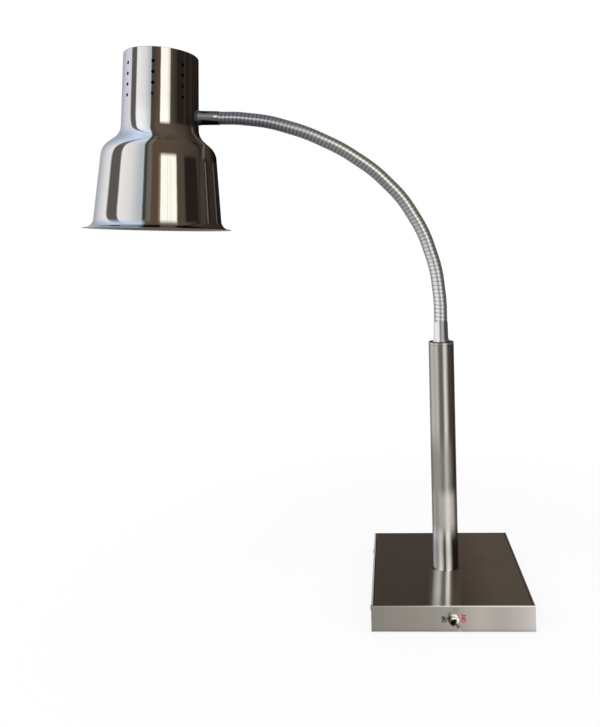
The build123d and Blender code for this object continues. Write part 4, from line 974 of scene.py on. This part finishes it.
def shade_mesh():
    """Shade wall: the outline turned about its axis, outside and inside a sheet apart along the
    outline's normal, joined by a round rim. Each vent is open, and a short tube joins its outer and
    inner circles."""
    outline = rounded_outline(SHADE_CORNERS, SHADE_CURVES) * MM
    run = along(outline)
    s, turn, cut, rings = vent_grid(outline, run)
    slope = np.gradient(outline, run, axis=0)
    slope /= np.linalg.norm(slope, axis=1)[:, None]
    radius, height, slope_r, slope_z = (
        np.interp(s, run, values) for values in (outline[:, 0], outline[:, 1], slope[:, 0], slope[:, 1]))
    sheet = sizes().sheet
    inner_radius = np.maximum(radius - sheet * slope_z, 0)
    outer = np.stack([radius * np.cos(turn), radius * np.sin(turn), height], -1)
    inner = np.stack([inner_radius * np.cos(turn), inner_radius * np.sin(turn), height + sheet * slope_r], -1)
    faces = grid_faces(*s.shape)[~cut[:-1].ravel()]
    total = s.size
    parts = [faces, faces[:, ::-1] + total]
    for ring in rings:
        after = np.roll(ring, -1)
        parts.append(np.stack([ring, after, after + total, ring + total], 1))
    out = np.stack([np.cos(turn[0]), np.sin(turn[0]), 0 * turn[0]], 1)
    lip = (outer[0] + inner[0]) / 2 + out * sheet / 2
    j = np.arange(s.shape[1])
    after = np.roll(j, -1)
    tip = 2 * total
    parts.append(np.stack([j, tip + j, tip + after, after], 1))
    parts.append(np.stack([tip + j, total + j, total + after, tip + after], 1))
    points = np.concatenate([outer.reshape(-1, 3), inner.reshape(-1, 3), lip])
    return moved(points, HEAD), np.concatenate(parts)


def shade_slots(mesh):
    """Slot of each face: 0 outside, 1 inside and 2 on the edge of a vent. An inner face turns towards
    the shade's axis, or up under the crown. A vent's edge faces along the wall: round the axis, or up
    or down on the neck."""
    back = np.array(HEAD.inverted())
    local = moved(vectors(mesh.polygons, "center"), back)
    facing = vectors(mesh.polygons, "normal") @ back[:3, :3].T
    outward = facing[:, 0] * local[:, 0] + facing[:, 1] * local[:, 1]
    reach = np.hypot(local[:, 0], local[:, 1])
    inside = outward + facing[:, 2] * (0.4 * reach + 0.02) < 0
    vent = (np.abs(outward) < 0.5 * reach) & (local[:, 2] > VENT_ZONE[0]) & (local[:, 2] < VENT_ZONE[1])
    return np.where(vent, 2, inside).astype(np.int32)


class LAMP_OT_shade(bpy.types.Operator):
    """Makes the polished shade with its vents"""
    bl_idname = "lamp.shade"
    bl_label = "Shade"

    def execute(self, context):
        points, faces = shade_mesh()
        piece = make_mesh("shade_shell", points, faces, sharp=60)
        # The vents' edges are painted black, as the shade inside the holes
        for material in (shade_outside(), shade_inside(), moulded("vent_edge", "black", 0.6)):
            piece.data.materials.append(material)
        piece.data.polygons.foreach_set("material_index", shade_slots(piece.data))
        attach(piece, "head")
        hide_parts("shade_body", "shade_neck")
        return {"FINISHED"}


def ferrule_outline(top, spread):
    """Turned ferrule from height 0 to its top: foot flared by a spread, straight body, eased end."""
    flare = FERRULE_RADIUS + spread
    ease = FERRULE_FLARE / 2
    body = rounded_outline(
        ((HOSE_BORE, 0), (flare, 0), (flare, ease), (FERRULE_RADIUS, ease + 2 * FERRULE_FLARE),
         (FERRULE_RADIUS - 0.5 * MM, top), (HOSE_BORE, top)),
        (0.2 * MM, 0.3 * MM, 3 * MM, 0.5 * MM))
    return dense(body, 4 * MM)


def ferrule_chrome(name, place, runs, facing, glint=0.0):
    """Polished ferrule: painted reflection bands along it, placed across it as seen from the front, and near
    its end a short painted glint of a given strength."""
    finish = Finish(name)
    here = finish.place(place)
    x, y, z = finish.parts(here)
    across = across_round(x, y, facing)
    rings = finish.noise(finish.stretched(here, (0.2, 0.2, 80.0)), 20.0, 3.0)
    tone = finish.mix((rings - 0.5) * 0.3 + 0.1, bands(finish, across, runs), "ffffff", "SOFT_LIGHT")
    # Short painted highlight near the end
    spot = z.within(24 * MM, 26 * MM, 30 * MM, 31.5 * MM) * abs(across - 0.04).step(0.16, 0.04)
    tone = finish.mix(spot * glint, tone, "cream")
    return finish.surface(
        Base_Color=tone, Metallic=1 - z.step(8 * MM, 3 * MM) * 0.7, Roughness=rings * 0.08 + 0.12,
        Specular_Tint=(0.6, 0.6, 0.6), Specular_IOR_Level=0.1)


# Painted reflection bands of the lower and the upper ferrule
LOWER_BANDS = (
    ("light_steel", -1.0), ("cloud", -0.85, -0.3), ("light_steel", -0.16), ("dull_steel", -0.05),
    ("steel", 0.05), ("chrome", 0.14, 0.34), ("gun_blue", 0.46), ("slate", 0.6, 1.0))
UPPER_BANDS = (
    ("black", -1.0), ("pitch", -0.86), ("slate", -0.62), ("gun_blue", -0.2), ("dull_steel", 0.02),
    ("steel", 0.12), ("dull_steel", 0.22), ("gun_blue", 0.36), ("slate", 0.66), ("pitch", 0.88),
    ("black", 1.0))


class LAMP_OT_ferrules(bpy.types.Operator):
    """Makes the two ferrules of the gooseneck and the saddle on the shade"""
    bl_idname = "lamp.ferrules"
    bl_label = "Ferrules"

    def execute(self, context):
        low_place = Matrix.Translation((0, 0, POST_TOP))
        low = spun_piece("ferrule_low", ferrule_outline(LOWER_FERRULE, FERRULE_FLARE), low_place)
        low_chrome = ferrule_chrome("ferrule_low_chrome", low_place, LOWER_BANDS, POST_FACING)
        dress(low, low_chrome, "neck_root")
        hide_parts("lower_ferrule")
        face = neck_radius(FERRULE_HEIGHT) + SADDLE_THICKNESS
        high_place = SIDE @ Matrix.Translation((0, 0, face))
        high = spun_piece("ferrule_high", ferrule_outline(UPPER_FERRULE, FERRULE_FLARE / 4), high_place)
        high_chrome = ferrule_chrome("ferrule_high_chrome", high_place, UPPER_BANDS, math.pi, glint=1.0)
        dress(high, high_chrome, "head")
        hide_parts("upper_ferrule")
        seat = neck_radius(FERRULE_HEIGHT) - SADDLE_SEAT
        corners = (
            (HOSE_BORE, seat), (SADDLE_RADIUS - 1.5 * MM, seat), (FERRULE_RADIUS + 0.8 * MM, face - 0.5 * MM),
            (FERRULE_RADIUS, face), (HOSE_BORE, face))
        collar = rounded_outline(corners, (0.1 * MM, 1 * MM, 0.3 * MM))
        ring = spun_piece("saddle_collar", collar, SIDE)
        # The saddle collar's dark slate is its painted dark reflection
        dress(ring, brushed("saddle_steel", "slate", (1.0, 1.0, 60.0), 0.4), "head")
        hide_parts("shade_saddle")
        return {"FINISHED"}


RIB_STEPS = 10
HOSE_COUNT = 40
BLEND_RIBS = 5


def hose_skin(number):
    """Ribbed skin across one pivot: circles about the gooseneck's centreline whose radius is the
    band's less a groove, which is the fourth power of a cosine of the place along it less the turn
    round it, so the bands wind. The bore closes it from inside."""
    pivot = FIRST_PIVOT + PIVOT_STEP * (number - 1)
    start = 0.0 if number == 1 else pivot - PIVOT_STEP / 2
    end = float(NECK_RIBS) if number == PIVOT_COUNT else pivot + PIVOT_STEP / 2
    places = np.linspace(start, end, int(round((end - start) * RIB_STEPS)) + 1)
    angle = np.arange(HOSE_COUNT + 1) * 2 * np.pi / HOSE_COUNT
    points, headings = neck_line(places)
    phase = 2 * np.pi * places[:, None] * NECK_BAND_COUNT / NECK_RIBS - angle
    outer = HOSE_RADIUS - sizes().band_depth * np.maximum(np.cos(phase), 0) ** 4
    bore = np.full((2, HOSE_COUNT + 1), HOSE_BORE)
    radius = np.concatenate([outer, bore])
    order = np.concatenate([np.arange(len(places)), [len(places) - 1, 0]])
    centre, heading = points[order], headings[order]
    out = np.stack([np.cos(heading), 0 * heading, np.sin(heading)], 1)
    front = np.array([0.0, -1.0, 0.0])
    ring = np.cos(angle)[None, :, None] * out[:, None, :] + np.sin(angle)[None, :, None] * front
    shape = centre[:, None, :] + radius[:, :, None] * ring
    u, v = np.broadcast_arrays(angle / (2 * np.pi), places[order][:, None] / NECK_RIBS)
    faces = grid_faces(len(order), HOSE_COUNT + 1, wrap_rows=True, wrap_columns=False)
    return shape, faces, np.stack([u, v], -1), pivot


class LAMP_OT_gooseneck(bpy.types.Operator):
    """Makes the ribbed skins of the gooseneck, each running across one pivot"""
    bl_idname = "lamp.gooseneck"
    bl_label = "Gooseneck"

    def execute(self, context):
        material = ribbed_chrome()
        for number in range(1, PIVOT_COUNT + 1):
            shape, faces, uv, pivot = hose_skin(number)
            piece = make_mesh(f"hose_skin_{number}", shape, faces, uv)
            piece.data.materials.append(material)
            low, _ = neck_place(pivot - BLEND_RIBS)
            high, _ = neck_place(pivot + BLEND_RIBS)
            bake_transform(piece)
            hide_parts(f"hose_{number}")
            if number == 1:
                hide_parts("hose_0")
        return {"FINISHED"}


class LAMP_OT_post(bpy.types.Operator):
    """Makes the upright with its flat cap"""
    bl_idname = "lamp.post"
    bl_label = "Upright"

    def execute(self, context):
        tube_low, tube_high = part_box("post_tube")
        bore = POST_RADIUS - POST_WALL
        tube = dense(rounded_outline(
            ((bore, tube_low.z), (POST_RADIUS, tube_low.z), (POST_RADIUS, tube_high.z), (bore, tube_high.z)),
            (0.2 * MM, 0.2 * MM)), 12 * MM)
        sleeve = spun_piece("post_sleeve", tube)
        steel = satin_post()
        dress(sleeve, steel, "base")
        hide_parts("post_tube")
        cap_low = POST_TOP - CAP_THICKNESS
        cap = rounded_outline(
            ((0, POST_TOP), (POST_RADIUS, POST_TOP), (POST_RADIUS, cap_low + 0.2 * MM), (bore, cap_low)),
            (CAP_CHAMFER, 0.1 * MM))
        lid = spun_piece("post_lid", np.concatenate([cap, [(0, cap_low)]]))
        dress(lid, steel, "base")
        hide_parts("post_cap")
        return {"FINISHED"}


class LAMP_OT_base(bpy.types.Operator):
    """Gives the base box its brushed steel, rubber pad and screws"""
    bl_idname = "lamp.base"
    bl_label = "Base box"

    def execute(self, context):
        finish_nodes(box_steel(), "base_cover")
        finish_nodes(tray_steel(), "base_tray")
        finish_nodes(moulded("pad_rubber", "1d1c1b", 0.8), "base_pad")
        finish_nodes(brushed("screw_steel", "9c9a97", (60.0, 60.0, 60.0)), "side_screws", "ballast_screws")
        finish_nodes(brushed("ballast_grey", "6d6c6a", (8.0, 8.0, 8.0), 0.55), "ballast_plates")
        return {"FINISHED"}


# Bulb's outline in millimetres: radius and height above the shade's rim
BULB_CORNERS = ((0, 12), (30, 13.5), (54, 21), (62.5, 34), (56, 66), (22, 112), (17, 130), (16, 163))
BULB_CURVES = (60, 30, 12, 28, 30, 20)
BULB_TOP = 163 * MM
BULB_WALL = 0.8 * MM


class LAMP_OT_bulb(bpy.types.Operator):
    """Makes the reflector bulb and finishes its cap and holder"""
    bl_idname = "lamp.bulb"
    bl_label = "Bulb and holder"

    def execute(self, context):
        outer = dense(rounded_outline(BULB_CORNERS, BULB_CURVES) * MM, 5 * MM)
        inner = outer[::-1] * (0.98, 1)
        inner[:, 1] = np.clip(inner[:, 1] + BULB_WALL, None, BULB_TOP)
        bulb = spun_piece("bulb_envelope", np.concatenate([outer, inner]), HEAD)
        dress(bulb, bulb_skin(), "head")
        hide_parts("bulb_glass")
        brass = brushed("cap_brass", "c9a865", (1.0, 1.0, 60.0), 0.3, centre=HEAD)
        finish_nodes(brass, "bulb_cap", "holder_shell", "centre_contact")
        finish_nodes(moulded("holder_glaze", "e9e5dc", 0.22, coat=0.4), "lampholder")
        finish_nodes(brushed("bracket_steel", "b4b3b1", (60.0, 60.0, 1.0)), "holder_bracket")
        finish_nodes(brushed("plated_steel", "c2c1bf", (30.0, 30.0, 30.0)), "head_nut", "holder_nipple")
        finish_nodes(moulded("conductor_sleeve", "5b3b2c", 0.6), "head_conductors")
        return {"FINISHED"}


def printed(name, colour):
    """Printed ink: slightly uneven colour, worn thin in places."""
    finish = Finish(name)
    here = finish.place()
    specks = finish.noise(here, 900.0, 3.0)
    worn = tuple(part * 0.7 + 0.06 for part in tint(colour))
    tone = finish.mix(specks.step(0.35, 0.75), colour, worn)
    return finish.surface(Base_Color=tone, Roughness=specks * 0.2 + 0.45)


# Printed words: word, name, colour, centre on the front and size
MARKS = (
    ("OFF", "mark_off", "dark_print", (-12.0 * MM, 18.8 * MM), (7.0 * MM, 8.6 * MM)),
    ("ON", "mark_on", "red", (13.8 * MM, 19.6 * MM), (6.8 * MM, 10.6 * MM)))
MARK_THICKNESS = 0.12 * MM
MARK_DEPTH = 0.3


def mark(word, name, colour, centre, size):
    """Printed word on the front wall, turned a quarter: a flat letter outline made a mesh."""
    text = bpy.data.curves.new(name, "FONT")
    text.body = word
    text.align_x = "CENTER"
    text.align_y = "CENTER"
    text.extrude = 0.02
    text.offset = 0.06
    holder = new_object(name + "_curve", text)
    bpy.context.view_layer.update()
    mesh = bpy.data.meshes.new_from_object(holder.evaluated_get(bpy.context.evaluated_depsgraph_get()))
    bpy.data.objects.remove(holder)
    points = vectors(mesh.vertices, "co")
    low, high = points.min(0), points.max(0)
    flat = (points - (low + high) / 2) / (high - low)
    x = centre[0] - flat[:, 1] * size[0]
    z = centre[1] + flat[:, 0] * size[1]
    y = -BASE_HALF - (flat[:, 2] + MARK_DEPTH) * MARK_THICKNESS
    mesh.vertices.foreach_set("co", np.stack([x, y, z], 1).ravel())
    mesh.name = name
    mesh.materials.clear()
    mesh.materials.append(printed(name + "_ink", colour))
    clean(mesh, 1e-7)
    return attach(new_object(name, mesh), "base")


SWITCH_REACH = 14 * MM
# Painted reflection tones of the switch, from its dark lower left to its bright upper right
SWITCH_TONES = ((0.1, "umber"), (0.35, "brown"), (0.52, "pale_steel"), (0.68, "cream"), (1.0, "cream"))


def switch_chrome():
    """Chromed switch: a painted highlight on its upper right, where it faces the window, and painted
    shade below on the left.
    """
    finish = Finish("switch_chrome")
    low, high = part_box("switch_nuts")
    here = finish.place()
    x, _, z = finish.parts(here)
    lean = (x - (low.x + high.x) / 2) * 0.9 + (z - (low.z + high.z) / 2) * 0.55
    wear_and_sheen = finish.noise(here, 400.0, 3.0)
    tone = finish.ramp(lean / SWITCH_REACH + 0.5 + (wear_and_sheen - 0.5) * 0.2, SWITCH_TONES)
    return finish.surface(
        Base_Color=tone, Metallic=lean.step(-4 * MM, 0) * 0.8 + 0.2, Roughness=wear_and_sheen * 0.15 + 0.12)


class LAMP_OT_switch(bpy.types.Operator):
    """Finishes the toggle switch and prints its marks"""
    bl_idname = "lamp.switch"
    bl_label = "Toggle switch"

    def execute(self, context):
        finish_nodes(switch_chrome(), "switch_bushing", "switch_nuts")
        finish_nodes(brushed("lever_chrome", "light_steel", (40.0, 40.0, 40.0), 0.25), "switch_lever")
        finish_nodes(moulded("switch_case", "1c1b1a", 0.5), "switch_housing")
        contact = brushed("contact_brass", "c4a468", (30.0, 30.0, 1.0))
        finish_nodes(contact, "switch_terminals", "switch_rocker")
        for word, name, colour, centre, size in MARKS:
            mark(word, name, colour, centre, size)
        return {"FINISHED"}


class LAMP_OT_inside(bpy.types.Operator):
    """Finishes the gland and what the base and the upright hold"""
    bl_idname = "lamp.inside"
    bl_label = "Gland and inside"

    def execute(self, context):
        finish_nodes(moulded("gland_plastic", "222120", 0.42), "gland_body", "gland_locknut", "gland_dome")
        finish_nodes(moulded("gland_ring", "2c2b2a", 0.75), "gland_seal")
        finish_nodes(moulded("block_plastic", "d9d5c8", 0.5), "terminal_block")
        finish_nodes(brushed("block_brass", "c4a468", (30.0, 30.0, 1.0)), "terminal_inserts", "earth_stud")
        zinc = brushed("zinc_steel", "a5a4a2", (30.0, 30.0, 30.0), 0.38)
        finish_nodes(zinc, "post_plug", "post_stud", "post_backing_plate", "post_nut", "lower_locknut")
        lead = moulded("lead_rubber", "232221", 0.7)
        finish_nodes(lead, "post_lead", *(f"lead_{n}" for n in range(9)))
        finish_nodes(moulded("wire_sleeve", "7a5136", 0.6), "switch_wires")
        return {"FINISHED"}


# Camera: focal length and the axis's place in pixels of the image, its place, and its turns in degrees
LENS_PIXELS = 637.9
AXIS_PIXEL = (366.3, 243.3)
CAMERA_PLACE = (-0.0759, -0.9717, 0.5191)
CAMERA_TURN = 2.04
CAMERA_RISE = 0.4
CAMERA_ROLL = -1.14

FLOOR_HALF = 6.0
WORLD_LIGHT = 0.6
# Soft lamps: name, place, size in metres and power in watts; both face the lamp's middle
LAMP_MIDDLE = (-0.15, 0, 0.35)
SOFT_LAMPS = (("key_lamp", (-1.6, -1.9, 2.4), 1.6, 46.0), ("fill_lamp", (1.9, -1.4, 1.6), 1.8, 26.0))


def pale_floor():
    """Floor: white to the camera and in mirrors, with a share of its true shade, so that it keeps
    the lamp's soft shadow."""
    finish = Finish("pale_floor")
    here = finish.place()
    specks = finish.noise(here, 30.0, 2.0)
    tone = finish.mix(specks, "eeeeee", "f4f4f4")
    finish.surface(Base_Color=tone, Roughness=0.9, Specular_IOR_Level=0.0)
    glow = finish.node("ShaderNodeEmission", sockets={"Color": (1.0, 1.0, 1.0), "Strength": 1.0})
    plain = Wire(finish, finish.shader.outputs[0])
    x, y, _ = finish.parts(here)
    far = (x * x + y * y).math("SQRT").step(0.25, 0.75) * 0.14 + 0.86
    mixed = finish.node("ShaderNodeMixShader", sockets={0: finish.seen_straight() * far, 1: plain, 2: glow})
    finish.join(finish.output.inputs["Surface"], mixed)
    return finish.material


def pale_world():
    """World: an even pale light, and plain white to the camera, mirrors and glass."""
    world = bpy.data.worlds.new("pale_world")
    world.use_nodes = True
    nodes = Nodes(world.node_tree)
    values = {"Value": nodes.seen_straight(), "To Min": WORLD_LIGHT, "To Max": 1.0}
    ground = nodes.tree.nodes["Background"]
    nodes.join(ground.inputs["Color"], (1.0, 1.0, 1.0))
    nodes.join(ground.inputs["Strength"], nodes.node("ShaderNodeMapRange", sockets=values))
    return world


def soft_lamp(name, place, size, power):
    """Square soft lamp that faces the lamp's middle."""
    light = bpy.data.lights.new(name, "AREA")
    light.shape = "SQUARE"
    light.size = size
    light.energy = power
    holder = new_object(name, light)
    holder.location = place
    holder.rotation_euler = (Vector(LAMP_MIDDLE) - Vector(place)).to_track_quat("-Z", "Y").to_euler()
    holder.visible_glossy = False


def photo_camera():
    """Camera at the photograph's viewing angle, with its axis shifted as the image is framed."""
    lens = bpy.data.cameras.new("camera")
    longest = max(IMAGE)
    lens.lens = LENS_PIXELS / longest * lens.sensor_width
    lens.shift_x = (IMAGE[0] / 2 - AXIS_PIXEL[0]) / longest
    lens.shift_y = (AXIS_PIXEL[1] - IMAGE[1] / 2) / longest
    lens.clip_start = 0.05
    lens.clip_end = 50.0
    camera = new_object("camera", lens)
    camera.location = CAMERA_PLACE
    turn, rise, roll = (
        Matrix.Rotation(math.radians(degrees), 3, axis)
        for degrees, axis in ((CAMERA_TURN, "Z"), (90 + CAMERA_RISE, "X"), (CAMERA_ROLL, "Z")))
    camera.rotation_euler = (turn @ rise @ roll).to_euler()
    return camera


class LAMP_OT_stage(bpy.types.Operator):
    """Makes the floor, the lights and the camera"""
    bl_idname = "lamp.stage"
    bl_label = "Stage"

    def execute(self, context):
        scene = context.scene
        scene.view_settings.view_transform = "Standard"
        scene.world = pale_world()
        corners = [(x * FLOOR_HALF, y * FLOOR_HALF, 0) for x, y in ((-1, -1), (1, -1), (1, 1), (-1, 1))]
        mesh = bpy.data.meshes.new("floor")
        mesh.from_pydata(corners, [], [(0, 1, 2, 3)])
        mesh.materials.append(pale_floor())
        new_object("floor", mesh)
        for name, place, size, power in SOFT_LAMPS:
            soft_lamp(name, place, size, power)
        scene.camera = photo_camera()
        return {"FINISHED"}


OPERATORS = (
    LAMP_OT_stage, LAMP_OT_base, LAMP_OT_post, LAMP_OT_ferrules, LAMP_OT_gooseneck, LAMP_OT_shade,
    LAMP_OT_bulb, LAMP_OT_switch, LAMP_OT_inside)


class LAMP_PT_panel(bpy.types.Panel):
    """Lists the steps that make the lamp"""
    bl_idname = "LAMP_PT_panel"
    bl_label = "Warming lamp"
    bl_space_type = "VIEW_3D"
    bl_region_type = "UI"
    bl_category = "Warming lamp"

    def draw(self, context):
        for operator in OPERATORS:
            self.layout.operator(operator.bl_idname)


CLASSES = (LampSizes, LampColours) + OPERATORS + (LAMP_PT_panel,)


def register():
    for item in CLASSES:
        bpy.utils.register_class(item)
    bpy.types.Scene.lamp_sizes = PointerProperty(type=LampSizes)
    bpy.types.Scene.lamp_colours = PointerProperty(type=LampColours)


def unregister():
    del bpy.types.Scene.lamp_colours
    del bpy.types.Scene.lamp_sizes
    for item in reversed(CLASSES):
        bpy.utils.unregister_class(item)


def main():
    register()
    for operator in OPERATORS:
        group, name = operator.bl_idname.split(".")
        getattr(getattr(bpy.ops, group), name)()
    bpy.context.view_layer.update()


if __name__ == "__main__":
    main()
